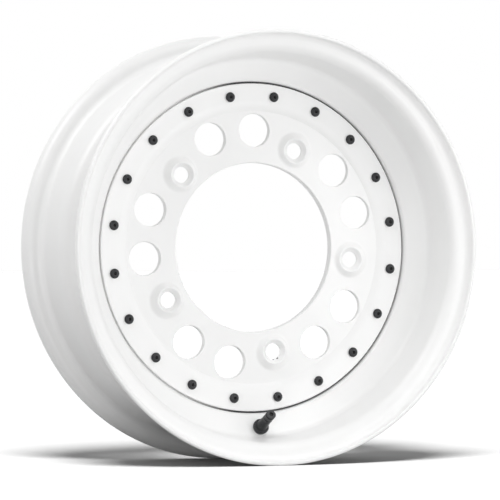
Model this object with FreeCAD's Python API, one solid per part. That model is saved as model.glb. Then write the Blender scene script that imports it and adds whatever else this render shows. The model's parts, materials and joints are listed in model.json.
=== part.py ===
"""Fifteen inch modular wheel rim: a bolted centre disc between two spun rim halves, with a snap-in valve.

Frame: millimetres, +Z up, the wheel's axis along Y, the outer face towards -Y.
The origin is the centre of the hub bore on the disc's back face, where the wheel seats on the hub.
"""
import FreeCAD
import Part

import math
import os

Vector = FreeCAD.Vector

# Rim contour, a 5 inch wide J flange on a 15 inch bead seat, made of one sheet thickness
BEAD_ABOVE_WELL = 26.1
BEAD_TAPER_DEG = 5.0
FLANGE_HEIGHT = 17.3
FLANGE_REACH = 12.5
RIM_WIDTH = 127.0
SHEET = 4.0
WELL_HALF_WIDTH = 10.0
RAMP_DEG = 63.0

# Bend radii of the sheet, each on the inside of its bend
WELL_EDGE_BEND = 1.0
RAMP_FOOT_BEND = 1.5
SEAT_BEND = 8.0
HEEL_BEND = 6.5
CURL_BEND = 5.5
LIP_ROUND_SHARE = 0.48
SHEET_EDGE_ROUND = 0.5

# Centre disc, with a hub pad that stands proud at the back inside the rim flanges
HUB_PAD_RISE = 0.5
HUB_PAD_CLEARANCE = 2.0
DISC_EDGE_GAP = 1.8
DISC_BAND = 7.0
DISC_EDGE_ROUND = 1.0
SHOULDER_RISE = 2.5
SHOULDER_RUN = 9.8
WEB_RISE_TO_BORE = 3.0
BORE_RADIUS = 81.5
BORE_EDGE_ROUND = 1.0
HOLE_POSITIONS = 15
HOLE_TO_SHOULDER = 2.7
HOLE_RADIUS = 16.0
HOLE_EDGE_ROUND = 0.6

# Lug seats, every third position of the hole pattern
LUG_EVERY = 3
LUG_CIRCLE_RADIUS = 102.5
LUG_HOLE_RADIUS = 7.75
LUG_SEAT_BALL = 14.0
LUG_SEAT_MOUTH = 11.3
LUG_RIM = 1.0
LUG_BOSS_FOOT = 17.0
LUG_BOSS_HEIGHT = 4.0
LUG_BOSS_ROOT = 2.0
LUG_LAND = 2.0
LUG_RELIEF_RADIUS = 11.0
LUG_FOOT_ROUND = 2.5
LUG_TOP_ROUND = 0.8
LUG_MOUTH_ROUND = 0.6

# Screws, washers and lock nuts round the disc
SCREW_COUNT = 20
SCREW_CIRCLE_RADIUS = 146.6
SCREW_RADIUS = 2.5
SCREW_LENGTH = 25.0
SCREW_HOLE_CLEARANCE = 0.25
SCREW_TO_DISC_EDGE = 11.6
SCREW_TO_SHOULDER = 5.1
SCREW_TO_FLANGE_BORE = 10.6
HEAD_RADIUS = 4.75
HEAD_HEIGHT = 2.75
HEAD_RIM = 0.35
HEAD_TOP_RADIUS = 2.4
SOCKET_ACROSS_FLATS = 3.0
SOCKET_DEPTH = 1.6
WASHER_RADIUS = 5.0
WASHER_THICKNESS = 1.0
WASHER_CLEARANCE = 0.15
NUT_ACROSS_FLATS = 8.0
NUT_HEX_HEIGHT = 3.8
NUT_COLLAR_HEIGHT = 1.2
NUT_COLLAR_WALL = 0.4
NUT_RING_WALL = 0.7
NUT_THREAD_CLEARANCE = 0.05

# Seals
EDGE_SEAL_HEIGHT = 3.0
EDGE_SEAL_CLEARANCE = 0.1
SEALANT_BELOW_WELL = 0.5
SEALANT_FLANK_DEG = 41.0
SEALANT_FOOT_HALF_WIDTH = 0.1
SEALANT_CLEARANCE = 0.2

# Clock angles seen from the front, clockwise: the wheel stands a little turned from valve straight down
WHEEL_TURN_DEG = -0.8
LUG_FROM_VALVE_DEG = -10.65

# Valve, sizes along its own axis from the visible face of the ramp
VALVE_ABOVE_WELL = 14.0
VALVE_HOLE_RADIUS = 5.75
VALVE_GROOVE_CLEARANCE = 0.1
VALVE_BULB_RADIUS = 9.5
VALVE_BULB_HEIGHT = 11.0
VALVE_FOOT_RADIUS = 5.4
VALVE_COLLAR_FOOT = 6.9
VALVE_COLLAR_RADIUS = 7.65
VALVE_COLLAR_HEIGHT = 6.0
VALVE_NECK_FOOT = 5.3
VALVE_NECK_TOP = 4.6
VALVE_NECK_FILLET = 1.4
VALVE_BODY_LENGTH = 19.6
TUBE_RADIUS = 3.85
TUBE_SHANK_RADIUS = 3.2
TUBE_BORE_RADIUS = 1.8
TUBE_MOUTH_RADIUS = 2.6
CORE_LENGTH = 8.5
CORE_CLEARANCE = 0.05
CORE_BORE_RADIUS = 0.75
PIN_RADIUS = 0.6
PIN_HEAD_RADIUS = 1.0
PIN_HEAD_HEIGHT = 0.6
PIN_TRAVEL = 1.5
PIN_HEAD_GAP = 0.15
PIN_BELOW_TUBE_END = 0.3
PLUNGER_RADIUS = 1.5
PLUNGER_HEIGHT = 2.6
PLUNGER_SEAT_GAP = 0.05
CAP_RADIUS = 4.7
CAP_LENGTH = 11.8
CAP_FOOT_GAP = 0.6
CAP_THREAD_CLEARANCE = 0.15
CAP_TOP = 1.4
CAP_EDGE_ROUND = 0.5
CAP_GROOVE_DEPTH = 0.3
CAP_GROOVE_WIDTH = 0.8
CAP_GROOVE_FROM_TOP = 3.0
CAP_DIMPLE_RADIUS = 1.9
CAP_DIMPLE_DEPTH = 0.7
CAP_SEAL_THICKNESS = 1.0
CAP_SEAL_CLEARANCE = 0.2

# Where the pieces lie along Y
HUB_FACE = 0.0
FLANGE_SEAT = HUB_FACE - HUB_PAD_RISE
JOINT_PLANE = FLANGE_SEAT + SHEET
FLANGE_BACK = JOINT_PLANE + SHEET
BAND_FACE = FLANGE_SEAT - DISC_BAND

# Radii that follow from the screw circle and the sheet
DISC_RADIUS = SCREW_CIRCLE_RADIUS + SCREW_TO_DISC_EDGE
INNER_WELL_RADIUS = DISC_RADIUS + DISC_EDGE_GAP
WELL_RADIUS = INNER_WELL_RADIUS + SHEET
BEAD_RADIUS = WELL_RADIUS + BEAD_ABOVE_WELL
FLANGE_BORE_RADIUS = SCREW_CIRCLE_RADIUS - SCREW_TO_FLANGE_BORE
HUB_PAD_RADIUS = FLANGE_BORE_RADIUS - HUB_PAD_CLEARANCE
SHOULDER_OUTER_RADIUS = SCREW_CIRCLE_RADIUS - SCREW_TO_SHOULDER
SHOULDER_INNER_RADIUS = SHOULDER_OUTER_RADIUS - SHOULDER_RUN
HOLE_CIRCLE_RADIUS = SHOULDER_INNER_RADIUS - HOLE_TO_SHOULDER - HOLE_RADIUS
VALVE_SEAT_RADIUS = INNER_WELL_RADIUS + VALVE_ABOVE_WELL

# Web thicknesses and valve heights that follow from the pieces they fit
WEB_AT_SHOULDER = HUB_PAD_RISE + DISC_BAND - SHOULDER_RISE
WEB_AT_BORE = WEB_AT_SHOULDER + WEB_RISE_TO_BORE
CAP_FOOT = VALVE_BODY_LENGTH + CAP_FOOT_GAP
CAP_END = CAP_FOOT + CAP_LENGTH
CAP_ROOF = CAP_END - CAP_TOP
TUBE_END = CAP_ROOF - CAP_SEAL_THICKNESS - CAP_SEAL_CLEARANCE
PIN_HEAD_TOP = TUBE_END - PIN_BELOW_TUBE_END
CORE_TOP = PIN_HEAD_TOP - PIN_HEAD_HEIGHT - PIN_HEAD_GAP - PIN_TRAVEL
CORE_FOOT = CORE_TOP - CORE_LENGTH
PLUNGER_TOP = CORE_FOOT - PLUNGER_SEAT_GAP
PLUNGER_FOOT = PLUNGER_TOP - PLUNGER_HEIGHT

# Wheel axis, how near two edges count as the same place, and the points read along an edge
AXIS = Vector(0, 1, 0)
SAME_PLACE = 1e-4
EDGE_SAMPLES = 5


def clock_point(radius, degrees, y=0.0):
    """Point at a clock angle from straight down, clockwise seen from the front."""
    turn = math.radians(degrees)
    return Vector(-radius * math.sin(turn), y, -radius * math.cos(turn))


def revolved(face):
    """Solid of a profile face in the XY plane turned about the wheel's axis."""
    return face.revolve(Vector(0, 0, 0), AXIS, 360)


def cylinder(radius, y_from, y_to, centre):
    """Cylinder along Y between two places, centred on a point's X and Z."""
    base = Vector(centre.x, y_from, centre.z)
    return Part.makeCylinder(radius, y_to - y_from, base, AXIS)


def rounded_wire(corners):
    """Closed wire through corners (x, y, radius), with a tangent arc at each rounded corner."""
    points = [Vector(x, y, 0) for x, y, _ in corners]
    spans = []
    for index, (_, _, radius) in enumerate(corners):
        here = points[index]
        back = (points[index - 1] - here).normalize()
        onward = (points[(index + 1) % len(points)] - here).normalize()
        half = back.getAngle(onward) / 2
        bisector = (back + onward).normalize()
        reach = radius / math.tan(half)
        nearest = here + bisector * (radius / math.sin(half) - radius)
        spans.append((here + back * reach, nearest, here + onward * reach, radius))
    edges = []
    for index, (start, middle, end, radius) in enumerate(spans):
        if radius > 0:
            edges.append(Part.Arc(start, middle, end).toShape())
        following = spans[(index + 1) % len(spans)][0]
        edges.append(Part.LineSegment(end, following).toShape())
    return Part.Wire(edges)


def rounded_face(corners):
    """Flat face inside a rounded wire."""
    return Part.Face(rounded_wire(corners))


def line_crossing(point_a, along_a, point_b, along_b):
    """Where two lines in the XY plane cross."""
    cross = along_a.x * along_b.y - along_a.y * along_b.x
    gap = point_b - point_a
    share = (gap.x * along_b.y - gap.y * along_b.x) / cross
    return point_a + along_a * share


def ring_copies(solid, count, first_degrees):
    """Group of copies of a solid round the wheel's axis, the first turned clockwise from straight down."""
    copies = []
    for index in range(count):
        copy = solid.copy()
        copy.rotate(Vector(0, 0, 0), AXIS, first_degrees + index * 360.0 / count)
        copies.append(copy)
    return Part.makeCompound(copies)


def contour_corners():
    """Corners of the rim half's tyre side as (distance from the joint plane, radius, bend radius)."""
    face = RIM_WIDTH / 2
    top = BEAD_RADIUS + FLANGE_HEIGHT
    ramp = math.radians(RAMP_DEG)
    taper = math.radians(BEAD_TAPER_DEG)
    foot = Vector(WELL_HALF_WIDTH, WELL_RADIUS, 0)
    heel = Vector(face, BEAD_RADIUS, 0)
    shoulder = line_crossing(foot, Vector(math.cos(ramp), math.sin(ramp), 0),
                             heel, Vector(math.cos(taper), math.sin(taper), 0))
    return [
        (Vector(0, FLANGE_BORE_RADIUS, 0), 0.0),
        (Vector(0, WELL_RADIUS, 0), WELL_EDGE_BEND),
        (foot, RAMP_FOOT_BEND),
        (shoulder, SEAT_BEND),
        (heel, HEEL_BEND),
        (Vector(face, top, 0), CURL_BEND),
        (Vector(face + FLANGE_REACH, top, 0), 0.0),
    ]


def sheet_sides(corners):
    """Both sides of the sheet: the tyre side as given and the other side one sheet away on its right."""
    points = [point for point, _ in corners]
    steps = [(b - a).normalize() for a, b in zip(points, points[1:])]
    rights = [Vector(step.y, -step.x, 0) * SHEET for step in steps]
    tyre_side = []
    near_side = []
    for index, (point, bend) in enumerate(corners):
        if index == 0:
            tyre_side.append((point, 0.0))
            near_side.append((point + rights[0], 0.0))
        elif index == len(corners) - 1:
            tyre_side.append((point, 0.0))
            near_side.append((point + rights[-1], 0.0))
        else:
            crossing = line_crossing(point + rights[index - 1], steps[index - 1],
                                     point + rights[index], steps[index])
            turns_right = steps[index - 1].cross(steps[index]).z < 0
            tyre_side.append((point, bend + SHEET if turns_right else bend))
            near_side.append((crossing, bend if turns_right else bend + SHEET))
    return tyre_side, near_side


def half_outline(towards):
    """Profile corners of one rim half in the XY plane; towards is -1 for the front half, 1 for the rear."""
    tyre_side, near_side = sheet_sides(contour_corners())
    lip_round = LIP_ROUND_SHARE * SHEET
    outline = []
    for point, bend in tyre_side[:-1]:
        outline.append((point, bend or SHEET_EDGE_ROUND))
    outline.append((tyre_side[-1][0], lip_round))
    outline.append((near_side[-1][0], lip_round))
    for point, bend in reversed(near_side[:-1]):
        outline.append((point, bend or SHEET_EDGE_ROUND))
    return [(point.y, JOINT_PLANE + towards * point.x, bend) for point, bend in outline]


def valve_placement():
    """Place of the valve: its origin on the ramp's visible face, its own Z square to that face."""
    _, near_side = sheet_sides(contour_corners())
    foot = near_side[2][0]
    ramp = math.radians(RAMP_DEG)
    depth = foot.x + (VALVE_SEAT_RADIUS - foot.y) / math.tan(ramp)
    place = clock_point(VALVE_SEAT_RADIUS, WHEEL_TURN_DEG, JOINT_PLANE - depth)
    inward = clock_point(-1.0, WHEEL_TURN_DEG)
    along = inward * math.cos(ramp) - AXIS * math.sin(ramp)
    return FreeCAD.Placement(place, FreeCAD.Rotation(Vector(0, 0, 1), along))


def screw_holes():
    """Clearance holes for the rim screws, through the disc and both flanges."""
    hole = cylinder(SCREW_RADIUS + SCREW_HOLE_CLEARANCE, BAND_FACE - DISC_BAND, FLANGE_BACK + SHEET,
                    clock_point(SCREW_CIRCLE_RADIUS, WHEEL_TURN_DEG))
    return ring_copies(hole, SCREW_COUNT, 180.0 / SCREW_COUNT)


def web_thickness(radius):
    """Thickness of the disc's web, which thins evenly from the bore to the shoulder."""
    share = (radius - BORE_RADIUS) / (SHOULDER_INNER_RADIUS - BORE_RADIUS)
    return WEB_AT_BORE + share * (WEB_AT_SHOULDER - WEB_AT_BORE)


def lug_angles():
    """Clock angles of the lug seats."""
    step = 360.0 / HOLE_POSITIONS
    first = WHEEL_TURN_DEG + LUG_FROM_VALVE_DEG
    return [first + index * step for index in range(0, HOLE_POSITIONS, LUG_EVERY)]


def lightening_angles():
    """Clock angles of the lightening holes, which fill the positions between the lug seats."""
    step = 360.0 / HOLE_POSITIONS
    first = WHEEL_TURN_DEG + LUG_FROM_VALVE_DEG
    return [first + index * step for index in range(HOLE_POSITIONS) if index % LUG_EVERY]


def disc_blank():
    """Turned blank of the centre disc, with a pilot hole for a bore: pad, web, shoulder and band."""
    shoulder_radius = (SHOULDER_RUN ** 2 + SHOULDER_RISE ** 2) / (2 * SHOULDER_RISE)
    half_turn = math.asin(SHOULDER_RUN / shoulder_radius) / 2
    middle = Vector(SHOULDER_OUTER_RADIUS - shoulder_radius * math.sin(half_turn),
                    BAND_FACE + shoulder_radius * (1 - math.cos(half_turn)), 0)
    crease = Vector(SHOULDER_INNER_RADIUS, HUB_FACE - WEB_AT_SHOULDER, 0)
    band_start = Vector(SHOULDER_OUTER_RADIUS, BAND_FACE, 0)
    edge_front = Vector(DISC_RADIUS, BAND_FACE, 0)
    edge_back = Vector(DISC_RADIUS, FLANGE_SEAT, 0)
    pad_root = Vector(HUB_PAD_RADIUS, FLANGE_SEAT, 0)
    pad_edge = Vector(HUB_PAD_RADIUS, HUB_FACE, 0)
    pilot = BORE_RADIUS / 2
    pilot_back = Vector(pilot, HUB_FACE, 0)
    pilot_front = Vector(pilot, HUB_FACE - web_thickness(pilot), 0)
    edges = [
        Part.LineSegment(pilot_back, pilot_front).toShape(),
        Part.LineSegment(pilot_front, crease).toShape(),
        Part.Arc(crease, middle, band_start).toShape(),
        Part.LineSegment(band_start, edge_front).toShape(),
        Part.LineSegment(edge_front, edge_back).toShape(),
        Part.LineSegment(edge_back, pad_root).toShape(),
        Part.LineSegment(pad_root, pad_edge).toShape(),
        Part.LineSegment(pad_edge, pilot_back).toShape(),
    ]
    blank = revolved(Part.Face(Part.Wire(edges)))
    return round_circles(blank, DISC_RADIUS, BAND_FACE, DISC_EDGE_ROUND)


def round_circles(solid, radius, y, fillet):
    """Fillet the circular edges of one radius about the wheel's axis, where the wall leaves room for it."""
    if fillet <= 0:
        return solid
    chosen = []
    for edge in solid.Edges:
        curve = edge.Curve
        if not isinstance(curve, Part.Circle):
            continue
        if abs(curve.Radius - radius) < SAME_PLACE and abs(curve.Center.y - y) < SAME_PLACE:
            chosen.append(edge)
    return solid.makeFillet(fillet, chosen)


def lug_boss_top():
    """Place along Y of the top of a lug boss."""
    return HUB_FACE - web_thickness(LUG_CIRCLE_RADIUS) - LUG_BOSS_HEIGHT


def lug_boss(degrees):
    """Raised cone round one lug hole, rooted in the web."""
    top_radius = LUG_SEAT_MOUTH + LUG_RIM
    flare = (LUG_BOSS_FOOT - top_radius) / LUG_BOSS_HEIGHT
    height = LUG_BOSS_HEIGHT + LUG_BOSS_ROOT
    top = clock_point(LUG_CIRCLE_RADIUS, degrees, lug_boss_top())
    return Part.makeCone(top_radius, top_radius + flare * height, height, top, AXIS)


def lug_foot_reach(towards):
    """Reach of a boss's foot on the sloping web, towards the bore (-1) or towards the shoulder (1)."""
    slope = WEB_RISE_TO_BORE / (SHOULDER_INNER_RADIUS - BORE_RADIUS)
    flare = (LUG_BOSS_FOOT - LUG_SEAT_MOUTH - LUG_RIM) / LUG_BOSS_HEIGHT
    return LUG_BOSS_FOOT / (1 - towards * slope * flare)


def lug_foot_round():
    """Round of a boss's foot, limited by the web between the boss and the shoulder."""
    return min(LUG_FOOT_ROUND, SHOULDER_INNER_RADIUS - LUG_CIRCLE_RADIUS - lug_foot_reach(1))


def bore_edge_round():
    """Round of the bore's front edge, limited by the web between the bore and the nearest boss or hole."""
    boss_edge = LUG_CIRCLE_RADIUS - lug_foot_reach(-1) - LUG_FOOT_ROUND
    hole_edge = HOLE_CIRCLE_RADIUS - HOLE_RADIUS - HOLE_EDGE_ROUND
    return min(BORE_EDGE_ROUND, boss_edge - BORE_RADIUS, hole_edge - BORE_RADIUS)


def lug_seat_depth():
    """Depth of the ball seat from the boss top to the lug hole."""
    hole_depth = math.sqrt(LUG_SEAT_BALL ** 2 - LUG_HOLE_RADIUS ** 2)
    mouth_depth = math.sqrt(LUG_SEAT_BALL ** 2 - LUG_SEAT_MOUTH ** 2)
    return hole_depth - mouth_depth


def lug_cut(degrees):
    """Ball seat, lug hole and back relief of one lug."""
    top = lug_boss_top()
    centre = clock_point(LUG_CIRCLE_RADIUS, degrees)
    ball_centre = Vector(centre.x, top - math.sqrt(LUG_SEAT_BALL ** 2 - LUG_SEAT_MOUTH ** 2), centre.z)
    ball = Part.makeSphere(LUG_SEAT_BALL, ball_centre)
    hole = cylinder(LUG_HOLE_RADIUS, top - LUG_BOSS_HEIGHT, HUB_FACE + SHEET, centre)
    relief = cylinder(LUG_RELIEF_RADIUS, top + lug_seat_depth() + LUG_LAND, HUB_FACE + SHEET, centre)
    return [ball, hole, relief]


def lightening_cut(degrees):
    """Cutter of one lightening hole, its seam turned sideways to the wheel's radius."""
    centre = clock_point(HOLE_CIRCLE_RADIUS, 0.0)
    cutter = cylinder(HOLE_RADIUS, BAND_FACE - DISC_BAND, HUB_FACE + DISC_BAND, centre)
    cutter.rotate(centre, AXIS, 90)
    cutter.rotate(Vector(0, 0, 0), AXIS, degrees)
    return cutter


def center_disc():
    """White centre disc with its bore, lug seats, lightening holes and screw holes."""
    lugs = [clock_point(LUG_CIRCLE_RADIUS, degrees) for degrees in lug_angles()]
    holes = [clock_point(HOLE_CIRCLE_RADIUS, degrees) for degrees in lightening_angles()]
    boss_top = LUG_SEAT_MOUTH + LUG_RIM
    disc = disc_blank().fuse([lug_boss(degrees) for degrees in lug_angles()])
    foot_reach = lug_foot_reach(1) + SAME_PLACE
    disc = round_loops(disc, lugs, boss_top + LUG_RIM, foot_reach, lug_foot_round())
    disc = disc.cut([piece for degrees in lug_angles() for piece in lug_cut(degrees)])
    disc = round_loops(disc, lugs, boss_top, boss_top, LUG_TOP_ROUND)
    disc = round_loops(disc, lugs, LUG_SEAT_MOUTH, LUG_SEAT_MOUTH, LUG_MOUTH_ROUND)
    bore = cylinder(BORE_RADIUS, lug_boss_top() - DISC_BAND, HUB_FACE + DISC_BAND, Vector(0, 0, 0))
    lightening = [lightening_cut(degrees) for degrees in lightening_angles()]
    disc = disc.cut([bore] + lightening + screw_holes().Solids)
    disc = round_circles(disc, BORE_RADIUS, HUB_FACE - WEB_AT_BORE, bore_edge_round())
    return round_loops(disc, holes, HOLE_RADIUS, HOLE_RADIUS, HOLE_EDGE_ROUND)


def round_loops(solid, centres, nearest, farthest, fillet):
    """Fillet the curved edges that stay between two distances from each centre, if there is room."""
    if fillet <= 0:
        return solid
    chosen = []
    for edge in solid.Edges:
        if isinstance(edge.Curve, Part.Line):
            continue
        points = edge.discretize(EDGE_SAMPLES)
        for centre in centres:
            away = [math.hypot(point.x - centre.x, point.z - centre.z) for point in points]
            if min(away) > nearest - SAME_PLACE and max(away) < farthest + SAME_PLACE:
                chosen.append(edge)
    return solid.makeFillet(fillet, chosen)


def outer_rim_half():
    """Front rim half, with its screw holes and the valve hole in the ramp."""
    half = revolved(rounded_face(half_outline(-1)))
    hole = Part.makeCylinder(VALVE_HOLE_RADIUS, 4 * SHEET, Vector(0, 0, -3 * SHEET))
    hole.Placement = valve_placement().multiply(hole.Placement)
    return half.cut([hole] + screw_holes().Solids)


def inner_rim_half():
    """Rear rim half, the mirror of the front one without a valve hole."""
    half = revolved(rounded_face(half_outline(1)))
    return half.cut(screw_holes().Solids)


def joint_sealant():
    """Wedge of sealant in the groove between the two rounded sheet edges, each flank tangent to its edge."""
    bend = WELL_EDGE_BEND + SHEET
    reach = bend + SEALANT_CLEARANCE
    lean = math.radians(SEALANT_FLANK_DEG)
    touch_radius = WELL_RADIUS - bend + reach * math.sin(lean)
    touch_half_width = bend - reach * math.cos(lean)
    top = WELL_RADIUS - SEALANT_BELOW_WELL
    top_half_width = touch_half_width + (top - touch_radius) * math.tan(lean)
    foot = touch_radius - (touch_half_width - SEALANT_FOOT_HALF_WIDTH) / math.tan(lean)
    return revolved(rounded_face([
        (foot, JOINT_PLANE - SEALANT_FOOT_HALF_WIDTH, 0),
        (top, JOINT_PLANE - top_half_width, 0),
        (top, JOINT_PLANE + top_half_width, 0),
        (foot, JOINT_PLANE + SEALANT_FOOT_HALF_WIDTH, 0),
    ]))


def disc_edge_seal():
    """Bead low in the gap between the disc's edge and the rim, its corner cut off to clear the bend."""
    inner = DISC_RADIUS + EDGE_SEAL_CLEARANCE
    outer = INNER_WELL_RADIUS - EDGE_SEAL_CLEARANCE
    top = FLANGE_SEAT - EDGE_SEAL_HEIGHT
    return revolved(rounded_face([
        (inner, FLANGE_SEAT, 0),
        (outer - WELL_EDGE_BEND, FLANGE_SEAT, 0),
        (outer, FLANGE_SEAT - WELL_EDGE_BEND, 0),
        (outer, top, 0),
        (inner, top, 0),
    ]))


def hexagon_prism(across_flats, height, base):
    """Hexagonal prism along Z, two flats facing along Y."""
    corner = across_flats / math.sqrt(3)
    points = []
    for index in range(7):
        turn = math.radians(60 * index)
        points.append(base + Vector(corner * math.cos(turn), corner * math.sin(turn), 0))
    return Part.Face(Part.makePolygon(points)).extrude(Vector(0, 0, height))


def turned(corners):
    """Solid turned about Z from a profile of corners (radius, height, bend radius)."""
    face = rounded_face(corners)
    face.rotate(Vector(0, 0, 0), Vector(1, 0, 0), 90)
    return face.revolve(Vector(0, 0, 0), Vector(0, 0, 1), 360)


def screw():
    """Button-head socket screw along Z, its head up, its bearing face at the origin."""
    dome_height = HEAD_HEIGHT - HEAD_RIM
    dome_run = HEAD_RADIUS - HEAD_TOP_RADIUS
    dome_radius = (HEAD_RADIUS ** 2 - HEAD_TOP_RADIUS ** 2 + dome_height ** 2) / (2 * dome_height)
    centre_height = HEAD_RIM - math.sqrt(max(dome_radius ** 2 - HEAD_RADIUS ** 2, 0.0))
    middle_radius = HEAD_TOP_RADIUS + dome_run / 2
    middle_height = centre_height + math.sqrt(dome_radius ** 2 - middle_radius ** 2)
    rim = Vector(HEAD_RADIUS, 0, HEAD_RIM)
    top = Vector(HEAD_TOP_RADIUS, 0, HEAD_HEIGHT)
    foot = Vector(HEAD_RADIUS, 0, 0)
    neck = Vector(SCREW_RADIUS, 0, 0)
    tip = Vector(SCREW_RADIUS, 0, -SCREW_LENGTH)
    low = Vector(0, 0, -SCREW_LENGTH)
    high = Vector(0, 0, HEAD_HEIGHT)
    edges = [
        Part.LineSegment(low, tip).toShape(),
        Part.LineSegment(tip, neck).toShape(),
        Part.LineSegment(neck, foot).toShape(),
        Part.LineSegment(foot, rim).toShape(),
        Part.Arc(rim, Vector(middle_radius, 0, middle_height), top).toShape(),
        Part.LineSegment(top, high).toShape(),
        Part.LineSegment(high, low).toShape(),
    ]
    body = Part.Face(Part.Wire(edges)).revolve(Vector(0, 0, 0), Vector(0, 0, 1), 360)
    socket = hexagon_prism(SOCKET_ACROSS_FLATS, 2 * SOCKET_DEPTH, Vector(0, 0, HEAD_HEIGHT - SOCKET_DEPTH))
    return body.cut(socket)


def washer():
    """Flat washer along Z, resting on the origin plane."""
    inner = SCREW_RADIUS + WASHER_CLEARANCE
    return turned([(inner, 0, 0), (WASHER_RADIUS, 0, 0), (WASHER_RADIUS, WASHER_THICKNESS, 0),
                   (inner, WASHER_THICKNESS, 0)])


def nut():
    """Lock nut along Z, resting on the origin plane: a hexagon and a thin collar round its locking ring."""
    inner = SCREW_RADIUS + NUT_THREAD_CLEARANCE
    ring_outer = inner + NUT_RING_WALL
    top = NUT_HEX_HEIGHT + NUT_COLLAR_HEIGHT
    hexagon = hexagon_prism(NUT_ACROSS_FLATS, NUT_HEX_HEIGHT, Vector(0, 0, 0))
    collar = Part.makeCylinder(ring_outer + NUT_COLLAR_WALL, top)
    bore = Part.makeCylinder(inner, top)
    pocket = Part.makeCylinder(ring_outer, NUT_COLLAR_HEIGHT, Vector(0, 0, NUT_HEX_HEIGHT))
    return hexagon.fuse(collar).cut([bore, pocket])


def nut_ring():
    """Locking ring in the nut's collar."""
    inner = SCREW_RADIUS + NUT_THREAD_CLEARANCE
    top = NUT_HEX_HEIGHT + NUT_COLLAR_HEIGHT
    return turned([(inner, NUT_HEX_HEIGHT, 0), (inner + NUT_RING_WALL, NUT_HEX_HEIGHT, 0),
                   (inner + NUT_RING_WALL, top, 0), (inner, top, 0)])


def on_screw_circle(solid, y, facing):
    """Group of a fastener piece at every screw, at a place along Y, facing -1 front or 1 rear."""
    piece = solid.copy()
    place = clock_point(SCREW_CIRCLE_RADIUS, WHEEL_TURN_DEG, y)
    piece.Placement = FreeCAD.Placement(place, FreeCAD.Rotation(Vector(0, 0, 1), AXIS * facing))
    return ring_copies(piece, SCREW_COUNT, 180.0 / SCREW_COUNT)


def valve_body():
    """Rubber valve: a bulb behind the wall, a groove in it, a collar in front and a tapering neck."""
    groove = VALVE_HOLE_RADIUS - VALVE_GROOVE_CLEARANCE
    back = -SHEET - VALVE_GROOVE_CLEARANCE
    front = VALVE_GROOVE_CLEARANCE
    corners = [
        (TUBE_SHANK_RADIUS, back - VALVE_BULB_HEIGHT, 0),
        (VALVE_FOOT_RADIUS, back - VALVE_BULB_HEIGHT, VALVE_NECK_FILLET),
        (VALVE_BULB_RADIUS, back - VALVE_BULB_HEIGHT / 2, VALVE_NECK_FILLET),
        (VALVE_BULB_RADIUS, back, 0),
        (groove, back, 0),
        (groove, front, 0),
        (VALVE_COLLAR_FOOT, front, 0),
        (VALVE_COLLAR_RADIUS, VALVE_COLLAR_HEIGHT / 2, VALVE_NECK_FILLET),
        (VALVE_COLLAR_RADIUS, VALVE_COLLAR_HEIGHT, VALVE_NECK_FILLET),
        (VALVE_NECK_FOOT, VALVE_COLLAR_HEIGHT, VALVE_NECK_FILLET / 2),
        (VALVE_NECK_TOP, VALVE_BODY_LENGTH, 0),
        (TUBE_SHANK_RADIUS, VALVE_BODY_LENGTH, 0),
    ]
    return turned(corners)


def valve_tube():
    """Brass tube in the valve: a plain shank in the rubber and a thicker threaded end under the cap."""
    foot = -SHEET - VALVE_BULB_HEIGHT
    corners = [
        (TUBE_BORE_RADIUS, foot, 0),
        (TUBE_SHANK_RADIUS, foot, 0),
        (TUBE_SHANK_RADIUS, VALVE_BODY_LENGTH, 0),
        (TUBE_RADIUS, VALVE_BODY_LENGTH, 0),
        (TUBE_RADIUS, TUBE_END, 0),
        (TUBE_MOUTH_RADIUS, TUBE_END, 0),
        (TUBE_MOUTH_RADIUS, CORE_FOOT, 0),
        (TUBE_BORE_RADIUS, CORE_FOOT, 0),
    ]
    return turned(corners)


def tube_ring(inner_radius, outer_radius, low, high):
    """Plain ring about the valve's axis."""
    return turned([(inner_radius, low, 0), (outer_radius, low, 0),
                   (outer_radius, high, 0), (inner_radius, high, 0)])


def valve_core():
    """Brass core barrel screwed into the tube's mouth, with a bore for the pin."""
    return tube_ring(CORE_BORE_RADIUS, TUBE_MOUTH_RADIUS - CORE_CLEARANCE, CORE_FOOT, CORE_TOP)


def valve_pin():
    """Pin through the core barrel, with a flat head that stands clear by the pin's travel."""
    head = PIN_HEAD_TOP - PIN_HEAD_HEIGHT
    return turned([(0, PLUNGER_FOOT, 0), (PIN_RADIUS, PLUNGER_FOOT, 0), (PIN_RADIUS, head, 0),
                   (PIN_HEAD_RADIUS, head, 0), (PIN_HEAD_RADIUS, PIN_HEAD_TOP, 0), (0, PIN_HEAD_TOP, 0)])


def valve_plunger():
    """Rubber plunger fixed on the pin's inner end, closing the barrel's foot."""
    return tube_ring(PIN_RADIUS, PLUNGER_RADIUS, PLUNGER_FOOT, PLUNGER_TOP)


def valve_cap():
    """Plastic dust cap with a groove below its end and a dimple in it."""
    inner = TUBE_RADIUS + CAP_THREAD_CLEARANCE
    body = turned([(inner, CAP_FOOT, 0), (CAP_RADIUS, CAP_FOOT, 0), (CAP_RADIUS, CAP_END, CAP_EDGE_ROUND),
                   (0, CAP_END, 0), (0, CAP_ROOF, 0), (inner, CAP_ROOF, 0)])
    groove_top = CAP_END - CAP_GROOVE_FROM_TOP
    groove_foot = groove_top - CAP_GROOVE_WIDTH
    groove = tube_ring(CAP_RADIUS - CAP_GROOVE_DEPTH, 2 * CAP_RADIUS, groove_foot, groove_top)
    dimple_floor = Vector(0, 0, CAP_END - CAP_DIMPLE_DEPTH)
    dimple = Part.makeCylinder(CAP_DIMPLE_RADIUS, 2 * CAP_DIMPLE_DEPTH, dimple_floor)
    return body.cut([groove, dimple])


def cap_seal():
    """Rubber disc under the cap's roof, just clear of the tube's end."""
    return Part.makeCylinder(TUBE_RADIUS, CAP_SEAL_THICKNESS, Vector(0, 0, CAP_ROOF - CAP_SEAL_THICKNESS))


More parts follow.
